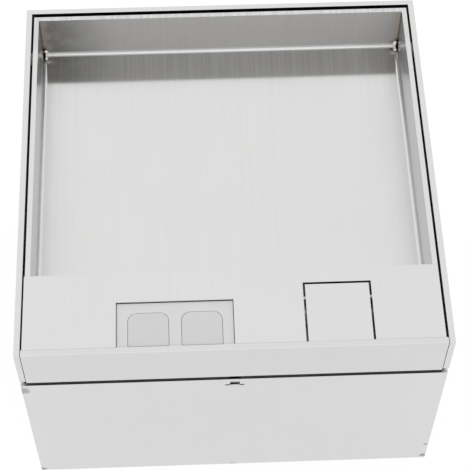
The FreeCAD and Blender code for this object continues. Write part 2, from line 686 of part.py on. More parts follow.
def make_data_module():
    middle = module_places()[2]
    skirt = centred(middle, "moduleRow", ("deckTop - 4 * moduleFlangeThick", "deckTop + 0.1"),
                    "moduleBody", "moduleBody")
    windows, pins = [], []
    jack_hole = "jackSide + 2 * moduleGap"
    for index, side in enumerate((-1, 1), start=1):
        x = f"{middle} + {side} * jackPitch / 2"
        windows.append(centred(x, "moduleRow", ("deckTop - 5 * moduleFlangeThick", "flangeTop + 1"),
                               jack_hole, jack_hole))
        block = centred(x, "moduleRow", ("flangeTop - jackHeight", "flangeTop"), "jackSide", "jackSide")
        port = centred(x, "moduleRow", ("flangeTop - jackPortReach", "flangeTop + 1"),
                       "jackPortWidth", "jackPortDepth")
        latch = centred(x, "moduleRow - jackPortDepth / 2", ("flangeTop - jackPortReach", "flangeTop + 1"),
                        "jackPortWidth / 2", "jackPortDepth / 3")
        node(f"data_jack_{index}", cut(block, port, latch))
        for pin in range(count("jackPins")):
            pin_x = f"({x} + jackPinPitch * ({pin} - (jackPins - 1) / 2))"
            pins.append(box((f"{pin_x} - jackPinWidth / 2", f"{pin_x} + jackPinWidth / 2"),
                            ("moduleRow + jackPortDepth / 2 - jackPinWidth", "moduleRow + jackPortDepth / 2"),
                            ("flangeTop - jackPortReach", "flangeTop - jackPortReach / 4")))
    node("data_module_plate", cut(fuse(module_flange(middle), skirt), *windows))
    node("data_jack_contacts", group(*pins))


def make_earth_point():
    washer = "(earthDia / 5)"
    height = "(earthDia * 0.8)"
    seat = f"(housingSheet + 3 * {washer})"
    lower_top = f"({seat} + {height})"
    upper_low = f"({lower_top} + 2 * {washer})"
    node("earth_stud", rod("z", "earthDia / 2", "earthX", "frontRow",
                           ("housingSheet", "housingSheet + earthLength")))
    node("earth_nuts", group(
        nut("earthDia * 5 / 3", "earthDia", "earthX", "frontRow", seat, lower_top),
        nut("earthDia * 5 / 3", "earthDia", "earthX", "frontRow", upper_low, f"{upper_low} + {height}")))
    washers = [tube("z", "earthDia", "earthDia / 2 + screwHole", "earthX", "frontRow",
                    (f"{lower_top} + {index} * {washer}", f"{lower_top} + {index + 1} * {washer}"))
               for index in range(2)]
    node("earth_washers", group(*washers))


def make_cable_saddle():
    along = ("saddleX - saddleWidth / 2", "saddleX + saddleWidth / 2")
    outer = "(saddleSpan / 2 + saddleSheet)"
    top = "(housingSheet + saddleRise + saddleSheet)"
    arch = box(along, (f"frontRow - {outer}", f"frontRow + {outer}"), ("housingSheet", top))
    room = box(("saddleX - saddleWidth", "saddleX + saddleWidth"),
               ("frontRow - saddleSpan / 2", "frontRow + saddleSpan / 2"),
               ("0", "housingSheet + saddleRise"))
    feet = box(along, (f"frontRow - {outer} - saddleFoot", f"frontRow + {outer} + saddleFoot"),
               ("housingSheet", "housingSheet + saddleSheet"))
    holes, screws = [], []
    for side in (-1, 1):
        y = f"frontRow + {side} * ({outer} + saddleFoot / 2)"
        holes.append(rod("z", "mainScrewDia / 2 + screwHole", "saddleX", y,
                         ("0", "housingSheet + 2 * saddleSheet")))
        screws.append(screw_down("saddleX", y, "housingSheet + saddleSheet", "mainScrewDia",
                                 "housingSheet + saddleSheet"))
    node("cable_saddle", cut(fuse(arch, feet), room, *holes))
    node("cable_saddle_screws", group(*screws))


# ---------------------------------------------------------------- floor frame and what is fixed to it

def make_floor_frame():
    walls = ring("sideBase", "topZ", "half", "frameIn")
    open_front = box(("-frameIn", "frameIn"), ("-half - 1", "1 - frameIn"), ("sideBase - 1", "topZ + 1"))
    rebate = box(("-skirtOut", "skirtOut"), ("-skirtOut", "skirtOut"),
                 ("sideBase - 1", "sideBase + skirtLap"))
    hinge_holes = rod("x", "bushR + seatClear", ("-half - 1", "half + 1"), "pivotY", "pivotZ")
    node("floor_frame", cut(walls, open_front, rebate, hinge_holes))


def make_front_plate():
    body = new_body("frame_front_plate")
    outline = sketch_on(body, "XZ_Plane", "frontIn")
    reach = "(frameIn - frontPlateGap)"
    rectangle(outline, (f"-{reach}", reach), ("frameBase", "topZ"))
    pad(body, outline, "frontPlateThick")
    rebate = sketch_on(body, "XZ_Plane", "frontIn - 1")
    rectangle(rebate, ("-half", "half"), ("frameBase - 1", "sideBase + skirtLap"))
    pocket(body, rebate, "skirtOut - frontIn + 1", reverse=True)
    node("frame_front_plate", body)


def make_skirt():
    wall = ring("skirtBase", "sideBase + skirtLap", "skirtOut", "skirtIn")
    reach = "(bridgeWidth / 2 + skirtClear)"
    guide = box((f"-{reach}", reach), ("-half", "half"),
                ("housingHeight - bridgeHeight - levelUp - skirtClear",
                 "housingHeight + levelDown + skirtClear"))
    node("frame_skirt", cut(wall, guide))


def make_lid_supports():
    for side, word in ((-1, "left"), (1, "right")):
        along = ("ledgeFront", "ledgeBack")
        leg = box(mirrored(side, "skirtIn - ledgeSheet", "skirtIn"), along,
                  ("ledgeTop - ledgeLeg", "ledgeTop"))
        plate = box(mirrored(side, "skirtIn - ledgeWidth", "skirtIn"), along,
                    ("ledgeTop - ledgeSheet", "ledgeTop"))
        node(f"lid_ledge_{word}", fuse(leg, plate))
        strip = mirrored(side, "skirtIn - stripEdge - stripWidth", "skirtIn - stripEdge")
        node(f"rest_strip_{word}", box(strip, along, ("ledgeTop", "ledgeTop + stripThick")))


def make_hinge_bushes():
    for side, word in ((-1, "left"), (1, "right")):
        node(f"hinge_bush_{word}", tube("x", "bushR", "pinR + runClear",
                                        mirrored(side, "lidHalf + bushGap", "half"), "pivotY", "pivotZ"))


CORNERS = [(-1, -1, "front_left"), (1, -1, "front_right"), (-1, 1, "rear_left"), (1, 1, "rear_right")]


def make_levelling():
    nuts = []
    for x, y, word in CORNERS:
        middle = (signed(x, "screwXY"), signed(y, "screwXY"))
        across = mirrored(y, "screwXY - lugWidth / 2", "screwXY + lugWidth / 2")
        leg = box(mirrored(x, "skirtIn - lugThick", "skirtIn"), across, ("lugBase", "skirtBase + lugLap"))
        plate = box(mirrored(x, "skirtIn - lugReach", "skirtIn"), across, ("lugBase", "lugTop"))
        hole = rod("z", "screwR + runClear", *middle, ("lugBase - 1", "lugTop + 1"))
        node(f"levelling_lug_{word}", cut(fuse(leg, plate), hole))
        bore = rod("z", "screwR + runClear", *middle, ("nutBase - 1", "lugBase + 1"))
        nuts.append(cut(prism(6, "levelNutAcross", *middle, ("nutBase", "lugBase")), bore))
        shank = rod("z", "screwR", *middle, ("shelfTop + runClear", "screwTop"))
        key = prism(6, "screwKey", *middle, ("screwTop - screwKeyDepth", "screwTop + 1"))
        node(f"levelling_screw_{word}", cut(shank, key))
    node("levelling_nuts", group(*nuts))


# ---------------------------------------------------------------- lid

def stud_places():
    """Middle of each weld stud on X: a row left of the handle cup and one stud right of it."""
    outer = "(lidHalf - studInset)"
    last = "(flangeLeftEnd - studMargin)"
    return [f"-{outer}", f"({last} - {outer}) / 2", last, outer]


def make_lid_tray():
    body = new_body("lid_tray")
    outline = sketch_on(body, "XY_Plane", "trayBase")
    rectangle(outline, ("-lidHalf", "lidHalf"), ("lidFront + cheekSetback", "lidBack"))
    pad(body, outline, "topZ - trayBase")

    hollow = sketch_on(body, "XY_Plane", "topZ")
    rectangle(hollow, ("-trayIn", "trayIn"), ("barBack", "lidBack - traySheet"))
    pocket(body, hollow, "trayDepth")

    bar_seat = sketch_on(body, "XY_Plane", "topZ")
    rectangle(bar_seat, ("-half", "half"), ("-half", "barBack"))
    pocket(body, bar_seat, "barThick")

    cable_bay = sketch_on(body, "XY_Plane", "topZ")
    rectangle(cable_bay, ("-trayIn", "trayIn"), ("-half", "flangeBack"))
    pocket(body, cable_bay, "topZ - trayBase + 1")

    flange = sketch_on(body, "XY_Plane", "flangeBase")
    span = ("flangeFront", "flangeBack")
    rectangle(flange, ("-trayIn", "flangeLeftEnd"), span)
    rectangle(flange, ("flangeRightEnd", "trayIn"), span)
    pad(body, flange, "traySheet")

    studs = sketch_on(body, "XY_Plane", "barBase")
    for x in stud_places():
        circle(studs, x, "studY", "mainScrewDia / 2 + screwHole")
    pocket(body, studs, "traySheet + 1")

    hinge = sketch_on(body, "YZ_Plane", "-half")
    circle(hinge, "pivotY", "pivotZ", "pinR + seatClear")
    pocket(body, hinge, "boxSide", reverse=True)

    doc.recompute()
    sharp = body.Tip
    solid = sharp.Shape
    upward = [face for face in solid.Faces if face.normalAt(0, 0).z > 0.99]
    floor = max(upward, key=lambda face: face.Area)
    bends = [f"Edge{number}" for number, edge in enumerate(solid.Edges, start=1)
             if any(edge.isSame(side) for side in floor.Edges)]
    fillet = body.newObject("PartDesign::Fillet", "FloorBends")
    fillet.Base = (sharp, bends)
    fillet.setExpression("Radius", formula("trayBend"))
    body.Tip = fillet
    node("lid_tray", body)


def make_hinge_pins():
    for side, word in ((-1, "left"), (1, "right")):
        node(f"hinge_pin_{word}", rod("x", "pinR", mirrored(side, "trayIn", "half - pinInset"),
                                      "pivotY", "pivotZ"))


def cup_screw_places():
    """Screws through the side lips of the handle cup."""
    for x in ("handleLeft - (cupSheet + cupSideLip) / 2", "handleRight + (cupSheet + cupSideLip) / 2"):
        for y in ("lidFront + handleNotchDepth / 4", "handleNotchBack - handleNotchDepth / 8"):
            yield x, y


def insert_screw_places():
    """Screws through the side lips of the cable insert."""
    for x in ("cableLeft - insertLip / 2", "cableRight + insertLip / 2"):
        for y in ("lidFront + cableNotchDepth / 4", "cableBack - cableNotchDepth / 4"):
            yield x, y


def tapped(x, y, dia):
    """A blind tapped hole in the underside of the bar."""
    return rod("z", f"{dia} / 2 + seatClear", x, y, ("barBase - 1", "barBase + screwBite"))


def make_outlet_bar():
    plate = box(("-lidHalf - barOverhang", "lidHalf"), ("lidFront", "barBack"), ("barBase", "topZ"))
    through = ("barBase - 1", "topZ + 1")
    cable_notch = box(("cableLeft", "cableRight"), ("lidFront - 1", "cableBack"), through)
    handle_notch = box(("handleLeft", "handleRight"), ("lidFront - 1", "handleNotchBack"), through)
    groove_x = ("handleLeft - handlePinHold", "handleRight + handlePinHold")
    groove_r = "(handlePinR + seatClear)"
    groove_top = rod("x", groove_r, groove_x, "handlePinY", "handlePinZ")
    groove = box(groove_x, (f"handlePinY - {groove_r}", f"handlePinY + {groove_r}"),
                 ("barBase - 1", "handlePinZ"))
    threads = [tapped(x, y, "cupScrewDia") for x, y in cup_screw_places()]
    threads += [tapped(x, y, "smallScrewDia") for x, y in insert_screw_places()]
    node("outlet_bar", cut(plate, cable_notch, handle_notch, groove_top, groove, *threads))


def make_bar_studs():
    node("bar_studs", group(*[rod("z", "mainScrewDia / 2", x, "studY", ("barBase - studLength", "barBase"))
                              for x in stud_places()]))
    node("bar_nuts", group(*[nut("studNutAcross", "mainScrewDia", x, "studY",
                                 "flangeBase - studNutHeight", "flangeBase") for x in stud_places()]))


def flap_places():
    return (("(cableCentre - flapPitch / 2)", "left"), ("(cableCentre + flapPitch / 2)", "right"))


def make_cable_insert():
    sides = ("cableLeft + insertGap", "cableRight - insertGap")
    block = box(sides, ("lidFront", "cableBack - insertGap"), ("insertBase", "insertTop"))
    lip = box(("cableLeft - insertLip", "cableRight + insertLip"),
              ("lidFront", "flangeFront - insertFlangeGap"), ("insertBase", "barBase"))
    tools = [rod("x", "flapPinR + seatClear", ("flapPinLeft", "flapPinRight"), "flapPinY", "flapPinZ")]
    for middle, _ in flap_places():
        tools.append(round_backed(middle, "flapWidth / 2 + flapGap", "lidFront - 1", "flapBack + flapGap",
                                  ("insertBase - 1", "insertTop + 1"), "flapCorner + flapGap"))
    tools += [rod("z", "smallScrewDia / 2 + seatClear", x, y, ("insertBase - 1", "barBase + 1"))
              for x, y in insert_screw_places()]
    node("cable_insert", cut(fuse(block, lip), *tools))
    node("cable_insert_screws", group(*[screw_up(x, y, "insertBase", "smallScrewDia",
                                                 "barBase - insertBase + screwBite * 0.8")
                                        for x, y in insert_screw_places()]))
    node("flap_hinge_pin", rod("x", "flapPinR", ("flapPinLeft", "flapPinRight"), "flapPinY", "flapPinZ"))


def round_backed(middle, reach, front, back, z, corner):
    """A block with two rounded back corners."""
    body = box((f"{middle} - ({reach})", f"{middle} + ({reach})"), (front, f"{back} - ({corner})"), z)
    rear = box((f"{middle} - ({reach}) + ({corner})", f"{middle} + ({reach}) - ({corner})"),
               (f"{back} - ({corner}) - 0.1", back), z)
    rounds = [rod("z", corner, f"{middle} + {side} * (({reach}) - ({corner}))", f"{back} - ({corner})", z)
              for side in (-1, 1)]
    return fuse(body, rear, *rounds)


def make_cable_flaps():
    for middle, word in flap_places():
        plate = round_backed(middle, "flapWidth / 2", "flapFront", "flapBack", ("flapBase", "insertTop"),
                             "flapCorner")
        barrels = []
        for side in (-1, 1):
            low, high = mirrored(side, "flapWidth / 2 - barrelInset - barrelLength",
                                 "flapWidth / 2 - barrelInset")
            barrels.append(rod("x", "barrelR", (f"{middle} + {low}", f"{middle} + {high}"),
                               "flapPinY", "flapPinZ"))
        bore = rod("x", "flapPinR + runClear", (f"{middle} - flapWidth", f"{middle} + flapWidth"),
                   "flapPinY", "flapPinZ")
        spring_room = "(flapWidth / 2 - barrelInset - barrelLength)"
        relief = box((f"{middle} - {spring_room}", f"{middle} + {spring_room}"),
                     ("flapPinY - barrelR", "flapPinY + barrelR"), ("flapBase - 1", "flapPinZ + barrelR"))
        node(f"cable_flap_{word}", cut(fuse(plate, *barrels), bore, relief))
        node(f"flap_spring_{word}", torsion_spring(middle, "flapPinY", "flapPinZ", "flapPinR",
                                                   "flapBase - springWire * 0.6"))


def make_handle():
    reach = "(handleNotchWidth / 2 - handleSlit)"
    plate = box((f"handleCentre - {reach}", f"handleCentre + {reach}"), ("lidFront", "handleBack"),
                ("barBase", "topZ"))
    bore = rod("x", "handlePinR + runClear", ("handleLeft", "handleRight"), "handlePinY", "handlePinZ")
    spring_r = "(handlePinR + 4 * runClear + springWire)"
    spring_room = "(springTurns * springWire / 2 + 1)"
    well = box((f"handleCentre - {spring_room}", f"handleCentre + {spring_room}"),
               (f"handlePinY - {spring_r}", f"handlePinY + {spring_r}"),
               ("barBase - 1", f"handlePinZ + {spring_r}"))
    leg_room = box(("handleCentre + springLegX - springWire", "handleCentre + springLegX + springWire"),
                   ("handlePinY - springLeg - springWire", "handlePinY"),
                   ("barBase - 1", "handlePinZ + springWire * 0.6"))
    node("lift_handle", cut(plate, bore, well, leg_room))
    node("handle_spring", torsion_spring("handleCentre", "handlePinY", "handlePinZ", "handlePinR",
                                         "handlePinZ"))
    node("handle_pin", rod("x", "handlePinR", ("handleLeft - handlePinHold + runClear",
                                               "handleRight + handlePinHold - runClear"),
                           "handlePinY", "handlePinZ"))


def make_handle_cup():
    front = "(lidFront + cupSetback)"
    walls = box(("handleLeft - cupSheet", "handleRight + cupSheet"), (front, "handleNotchBack + cupSheet"),
                ("cupFloor - cupSheet", "barBase"))
    lip = box(("handleLeft - cupSideLip", "handleRight + cupSideLip"),
              (front, "flangeBack - cupTrayGap"), ("barBase - cupSheet", "barBase"))
    room = box(("handleLeft", "handleRight"), (f"{front} + cupSheet", "handleNotchBack"),
               ("cupFloor", "barBase + 1"))
    front_relief = box(("handleLeft", "handleRight"), (f"{front} - 1", f"{front} + cupSheet + 1"),
                       ("barBase - cupSheet / 2", "barBase + 1"))
    holes = [rod("z", "cupScrewDia / 2 + seatClear", x, y, ("barBase - cupSheet - 1", "barBase + 1"))
             for x, y in cup_screw_places()]
    groove = ("handlePinY - handlePinR", "handlePinY + handlePinR")
    rise = ("barBase - cupSheet / 2", "handlePinZ - handlePinR")
    pads = [box(("handleLeft - handlePinHold + 0.5", "handleLeft - 0.5"), groove, rise),
            box(("handleRight + 0.5", "handleRight + handlePinHold - 0.5"), groove, rise)]
    node("handle_cup", fuse(cut(fuse(walls, lip), room, front_relief, *holes), *pads))
    node("handle_cup_screws", group(*[screw_up(x, y, "barBase - cupSheet", "cupScrewDia",
                                               "cupSheet + screwBite * 0.8") for x, y in cup_screw_places()]))


# ---------------------------------------------------------------- build, check and write

make_housing()
make_levelling_shelves()
make_device_rails()
make_device_plate()
make_deck_screws()
make_sockets()
make_data_module()
make_earth_point()
make_cable_saddle()

make_floor_frame()
make_front_plate()
make_skirt()
make_lid_supports()
make_hinge_bushes()
make_levelling()

make_lid_tray()
make_hinge_pins()
make_outlet_bar()
make_bar_studs()
make_cable_insert()
make_cable_flaps()
make_handle()
make_handle_cup()

doc.recompute()

for obj in doc.Objects:
    if "Invalid" in obj.State or "Error" in obj.State:
        raise RuntimeError(f"{obj.Name} ({obj.Label}) did not build: {obj.State}")
for name, obj in NODES.items():
    if obj.Shape.isNull() or not obj.Shape.isValid() or not obj.Shape.Solids:
        raise RuntimeError(f"{name} has no valid solid")

os.makedirs("parts", exist_ok=True)
for name, obj in NODES.items():
    obj.Shape.exportStep(f"parts/{name}.step")
print(len(NODES), "sub-parts written")
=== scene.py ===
import json
import math
import bpy
import bmesh
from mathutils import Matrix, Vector


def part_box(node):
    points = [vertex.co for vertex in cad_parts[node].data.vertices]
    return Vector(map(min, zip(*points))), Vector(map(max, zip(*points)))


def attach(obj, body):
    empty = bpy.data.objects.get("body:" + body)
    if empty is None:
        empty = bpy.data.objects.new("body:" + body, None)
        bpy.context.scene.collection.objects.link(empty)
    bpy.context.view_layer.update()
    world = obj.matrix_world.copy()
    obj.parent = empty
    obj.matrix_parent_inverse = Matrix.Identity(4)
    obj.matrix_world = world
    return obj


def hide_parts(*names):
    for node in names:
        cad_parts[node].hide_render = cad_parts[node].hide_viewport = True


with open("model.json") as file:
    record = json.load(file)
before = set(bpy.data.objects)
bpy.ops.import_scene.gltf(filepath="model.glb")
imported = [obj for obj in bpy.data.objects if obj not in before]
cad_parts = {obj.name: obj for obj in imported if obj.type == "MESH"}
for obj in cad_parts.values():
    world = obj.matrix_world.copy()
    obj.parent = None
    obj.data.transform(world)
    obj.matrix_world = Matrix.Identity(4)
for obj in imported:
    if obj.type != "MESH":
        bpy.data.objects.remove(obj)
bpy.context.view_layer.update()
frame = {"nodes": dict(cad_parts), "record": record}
cadNodes = frame["nodes"]
mm = 0.001
bodyOf = {node: body for body, members in frame["record"]["behaviour"]["bodies"].items() for node in members}
print("frame loaded:", len(cadNodes), "nodes")


# node helpers, for shaders and geometry alike

def addNode(tree, kind, inputs=None, **settings):
    node = tree.nodes.new(kind)
    for name, value in settings.items():
        setattr(node, name, value)
    for name, value in (inputs or {}).items():
        if isinstance(value, bpy.types.NodeSocket):
            tree.links.new(value, node.inputs[name])
        else:
            node.inputs[name].default_value = value
    return node


def calculate(tree, operation, first, second=0.0):
    return addNode(tree, "ShaderNodeMath", {0: first, 1: second}, operation=operation).outputs[0]


def times(tree, first, second):
    return calculate(tree, "MULTIPLY", first, second)


def plus(tree, first, second):
    return calculate(tree, "ADD", first, second)


def minus(tree, first, second):
    return calculate(tree, "SUBTRACT", first, second)


def axesOf(tree, place):
    return addNode(tree, "ShaderNodeSeparateXYZ", {0: place}).outputs


def vector(tree, x=0.0, y=0.0, z=0.0):
    return addNode(tree, "ShaderNodeCombineXYZ", {0: x, 1: y, 2: z}).outputs[0]


def mixColour(tree, factor, first, second):
    node = addNode(tree, "ShaderNodeMix", {0: factor}, data_type="RGBA")
    for index, value in ((6, first), (7, second)):
        if isinstance(value, bpy.types.NodeSocket):
            tree.links.new(value, node.inputs[index])
        else:
            node.inputs[index].default_value = (*value, 1.0)
    return node.outputs[2]


def mixVector(tree, factor, first, second):
    return addNode(tree, "ShaderNodeMix", {0: factor, 4: first, 5: second}, data_type="VECTOR").outputs[1]


def remap(tree, value, fromLow, fromHigh, toLow, toHigh, smooth=False):
    ends = {"Value": value, "From Min": fromLow, "From Max": fromHigh, "To Min": toLow, "To Max": toHigh}
    shape = "SMOOTHSTEP" if smooth else "LINEAR"
    return addNode(tree, "ShaderNodeMapRange", ends, interpolation_type=shape).outputs[0]


def distance(tree, *steps):
    total = None
    for step in steps:
        square = times(tree, step, step)
        total = square if total is None else plus(tree, total, square)
    return calculate(tree, "SQRT", total)


def noise(tree, place, scale, detail=3.0, roughness=0.55):
    return addNode(tree, "ShaderNodeTexNoise",
                   {"Vector": place, "Scale": scale, "Detail": detail, "Roughness": roughness}).outputs[0]


def stretched(tree, place, *scale):
    return addNode(tree, "ShaderNodeMapping", {"Vector": place.outputs["Object"], "Scale": scale}).outputs[0]


def bumped(tree, height, strength, depth):
    return addNode(tree, "ShaderNodeBump", {"Height": height, "Strength": strength, "Distance": depth})


def setLook(tree, shader, colour, rough, bump):
    tree.links.new(colour, shader.inputs["Base Color"])
    tree.links.new(rough, shader.inputs["Roughness"])
    tree.links.new(bump.outputs[0], shader.inputs["Normal"])


def newMaterial(name):
    material = bpy.data.materials.new(name)
    material.use_nodes = True
    tree = material.node_tree
    tree.nodes.clear()
    shader = addNode(tree, "ShaderNodeBsdfPrincipled")
    addNode(tree, "ShaderNodeOutputMaterial", {"Surface": shader.outputs[0]})
    return material, tree, shader, addNode(tree, "ShaderNodeTexCoord")


# brushed stainless sheet: the grain runs up and down on front and back faces, front to back on the others

brushedLook = {
    "colour": (0.685, 0.684, 0.681),
    "metallic": 1.0,
    "streak": 0.022,             # how much darker a grain line is
    "roughness": 0.185,
    "roughnessSpread": 0.02,
    "anisotropy": 1.0,
    "finePerMetre": 5200.0,      # grain lines across
    "alongPerMetre": 22.0,       # their run along
    "broadScale": 0.16,          # the broad streaks, as a share of the fine lines' number
    "grainHeight": 0.0000035,
    "cloud": 0.025,              # handling marks
    "cloudPerMetre": 22.0,
    "cloudRoughness": (-0.01, 0.015),
    "sideFacing": 0.7,           # how far a face has to look sideways to count as a side
}


def grainPlaces(tree, place, look):
    facing = axesOf(tree, place.outputs["Normal"])[0]
    sideFace = calculate(tree, "GREATER_THAN", calculate(tree, "ABSOLUTE", facing), look["sideFacing"])
    fine, along = look["finePerMetre"], look["alongPerMetre"]
    flat = stretched(tree, place, fine, along, along)
    side = stretched(tree, place, along, along, fine)
    return mixVector(tree, sideFace, flat, side), sideFace


def brushedSteel(name, look, marks=None, bow=None):
    material, tree, shader, place = newMaterial(name)
    grainPlace, sideFace = grainPlaces(tree, place, look)
    fine = noise(tree, grainPlace, 1.0, detail=3.0, roughness=0.6)
    broad = noise(tree, grainPlace, look["broadScale"], detail=3.0)
    clouds = noise(tree, place.outputs["Object"], look["cloudPerMetre"], detail=4.0)
    grain = plus(tree, times(tree, fine, 0.6), times(tree, broad, 0.4))
    streak = remap(tree, grain, 0.35, 0.65, 0.0, 1.0)
    dark = tuple(channel * (1 - look["streak"]) for channel in look["colour"])
    dull = tuple(channel * (1 - look["cloud"]) for channel in look["colour"])
    colour = mixColour(tree, streak, dark, look["colour"])
    colour = mixColour(tree, remap(tree, clouds, 0.35, 0.7, 0.0, 0.6), colour, dull)
    rough = remap(tree, grain, 0.35, 0.65, look["roughness"] + look["roughnessSpread"],
                  look["roughness"] - look["roughnessSpread"])
    rough = plus(tree, rough, remap(tree, clouds, 0.3, 0.7, *look["cloudRoughness"]))
    if marks:
        colour = marks(tree, place, colour)
    shader.inputs["Metallic"].default_value = look["metallic"]
    shader.inputs["Anisotropic"].default_value = look["anisotropy"]
    acrossGrain = mixVector(tree, sideFace, (1.0, 0.0, 0.0), (0.0, 0.0, 1.0))
    across = addNode(tree, "ShaderNodeVectorTransform", {0: acrossGrain},
                     vector_type="VECTOR", convert_from="OBJECT", convert_to="WORLD")
    tree.links.new(across.outputs[0], shader.inputs["Tangent"])
    bump = bumped(tree, grain, 0.3, look["grainHeight"])
    if bow:
        tree.links.new(bow(tree, place), bump.inputs["Normal"])
    setLook(tree, shader, colour, rough, bump)
    return material


# the tray's welded back corners: heat tint, soot and the seam; and painted shade on the inside of the back
# wall, which is a darker, duller copy of the sheet, darker still towards its ends

traySheetThick = 2.4 * mm
weldLook = {
    "cornerX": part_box("lid_tray")[1][0] - traySheetThick,
    "cornerY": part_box("lid_tray")[1][1] - traySheetThick,
    "floorZ": 102.4 * mm,
    "rimZ": 129.6 * mm,
    "cleanRim": 0.6 * mm,
    "patchPerMetre": 240.0,
    "waver": 2.2 * mm,
    "tint": (0.47, 0.415, 0.365),
    "tintSpan": (0.5 * mm, 7.0 * mm),        # full up to the first distance, gone at the second
    "tintStrength": 0.8,
    "seam": (0.10, 0.095, 0.09),
    "seamSpan": (0.2 * mm, 0.55 * mm),
    "seamStrength": 0.85,
    "soot": (0.035, 0.03, 0.028),
    "spotSpan": (2.0 * mm, 6.5 * mm),
    "burnSpan": (4.0 * mm, 7.5 * mm),
    "burnWide": (0.8 * mm, 2.2 * mm),
    "burnStrength": 0.95,
}
# painted shade on the inside of the tray's back wall: darker towards its left end, a little darker towards
# its right end, unevenly
wallShadeLook = {
    "colour": (0.17, 0.168, 0.162),
    "reachLeft": 44.0 * mm,
    "reachRight": 14.0 * mm,
    "rightStrength": 0.1,
    "unevenPerMetre": 55.0,
    "unevenLeast": 0.45,
}
scratchLook = {
    "reach": 20.0 * mm,
    "fade": 4.0 * mm,
    "acrossPerMetre": 620.0,
    "alongPerMetre": 12.0,
    "onFloor": (0.575, 0.574, 0.572),
    # the scratches on the back wall take a tone set from its painted-shade colour
    "onShadedWall": (0.508, 0.500, 0.492),
}
# painted shade: a darker, rougher and hardly metallic copy of the sheet for the inside of the tray's back
# wall
paintedShadeWallLook = dict(brushedLook, colour=(0.535, 0.527, 0.518), metallic=0.2, roughness=0.55,
                anisotropy=0.2, streak=0.01)


# short grinding lines near the back of the tray's inside, none on its underside
def scratched(tree, place, colour, scratch):
    look = scratchLook
    y, z = axesOf(tree, place.outputs["Object"])[1:3]
    inside = calculate(tree, "GREATER_THAN", z, weldLook["floorZ"] - 0.5 * mm)
    lines = stretched(tree, place, look["acrossPerMetre"], look["alongPerMetre"], look["alongPerMetre"])
    farEnd = weldLook["cornerY"] - look["reach"]
    near = remap(tree, y, farEnd, farEnd + look["fade"], 0.0, 1.0)
    depth = remap(tree, noise(tree, lines, 1.0, detail=4.0), 0.35, 0.65, 1.0, 0.0)
    return mixColour(tree, times(tree, times(tree, near, depth), inside), colour, scratch)


def weldMarks(tree, place, colour):
    look = weldLook
    x, y, z = axesOf(tree, place.outputs["Object"])
    offX = minus(tree, look["cornerX"], calculate(tree, "ABSOLUTE", x))
    offY = minus(tree, look["cornerY"], y)
    offZ = minus(tree, z, look["floorZ"])
    below = remap(tree, z, look["rimZ"] - look["cleanRim"], look["rimZ"], 1.0, 0.0)
    patch = noise(tree, place.outputs["Object"], look["patchPerMetre"], detail=4.0)
    seamGap = distance(tree, offX, offY)
    wavy = plus(tree, seamGap, remap(tree, patch, 0.3, 0.7, -look["waver"], look["waver"]))
    tint = remap(tree, wavy, *look["tintSpan"], look["tintStrength"], 0.0, smooth=True)
    colour = mixColour(tree, times(tree, tint, below), colour, look["tint"])
    seam = remap(tree, seamGap, *look["seamSpan"], look["seamStrength"], 0.0, smooth=True)
    colour = mixColour(tree, times(tree, seam, below), colour, look["seam"])
    spotGap = distance(tree, offX, offY, offZ)
    spots = times(tree, remap(tree, spotGap, *look["spotSpan"], 1.0, 0.0, smooth=True),
                  remap(tree, patch, 0.48, 0.56, 0.0, 1.0))
    besideWall = times(tree, remap(tree, offX, *look["burnWide"], 1.0, 0.0),
                       remap(tree, patch, 0.36, 0.5, 0.25, 1.0))
    nearCorner = remap(tree, spotGap, *look["burnSpan"], look["burnStrength"], 0.0, smooth=True)
    burnt = times(tree, nearCorner, besideWall)
    return mixColour(tree, calculate(tree, "MAXIMUM", spots, burnt), colour, look["soot"])


# the tray's floor rises a little towards its back wall, in its shading only

bowLook = {"start": 60.0 * mm, "end": weldLook["cornerY"], "rise": 0.55 * mm}


def floorBow(tree, place):
    y = axesOf(tree, place.outputs["Object"])[1]
    rise = remap(tree, y, bowLook["start"], bowLook["end"], 0.0, bowLook["rise"], smooth=True)
    return bumped(tree, rise, 1.0, 1.0).outputs[0]


# painted shade: darkens the inside of the back wall towards its ends, then adds the scratches and the weld
# marks
def paintWallShade(tree, place, colour):
    look = wallShadeLook
    x = axesOf(tree, place.outputs["Object"])[0]
    uneven = noise(tree, place.outputs["Object"], look["unevenPerMetre"], detail=3.0)
    end = weldLook["cornerX"]
    leftward = remap(tree, x, -end, -end + look["reachLeft"], 1.0, 0.0, smooth=True)
    rightward = remap(tree, x, end - look["reachRight"], end, 0.0, look["rightStrength"], smooth=True)
    paintedShade = times(tree, plus(tree, leftward, rightward),
                  remap(tree, uneven, 0.25, 0.65, look["unevenLeast"], 1.0))
    lined = scratched(tree, place, colour, scratchLook["onShadedWall"])
    return weldMarks(tree, place, mixColour(tree, paintedShade, lined, look["colour"]))


def trayMarks(tree, place, colour):
    return weldMarks(tree, place, scratched(tree, place, colour, scratchLook["onFloor"]))


# darker spots along the box's front: place and radius in mm, strength; the one at the top left corner, under
# the open end of the gap, is painted shade

darkSpots = {
    # painted shade under the open end of the gap at the left
    "leftCornerShade": (-100.0, -100.0, 94.8, 4.6, 0.6),
    "rightDot": (98.6, -100.0, 17.0, 1.3, 0.7),
    "bottomLeft": (-99.0, -100.0, 1.6, 2.2, 0.7),
    "bottomRight": (98.6, -100.0, 3.0, 2.6, 0.7),
    "bottomMiddle": (-0.5, -100.0, 0.0, 2.4, 0.4),
}
darkSpotLook = {"spotColour": (0.16, 0.155, 0.15), "patchPerMetre": 500.0, "waver": 0.3, "core": 0.35}


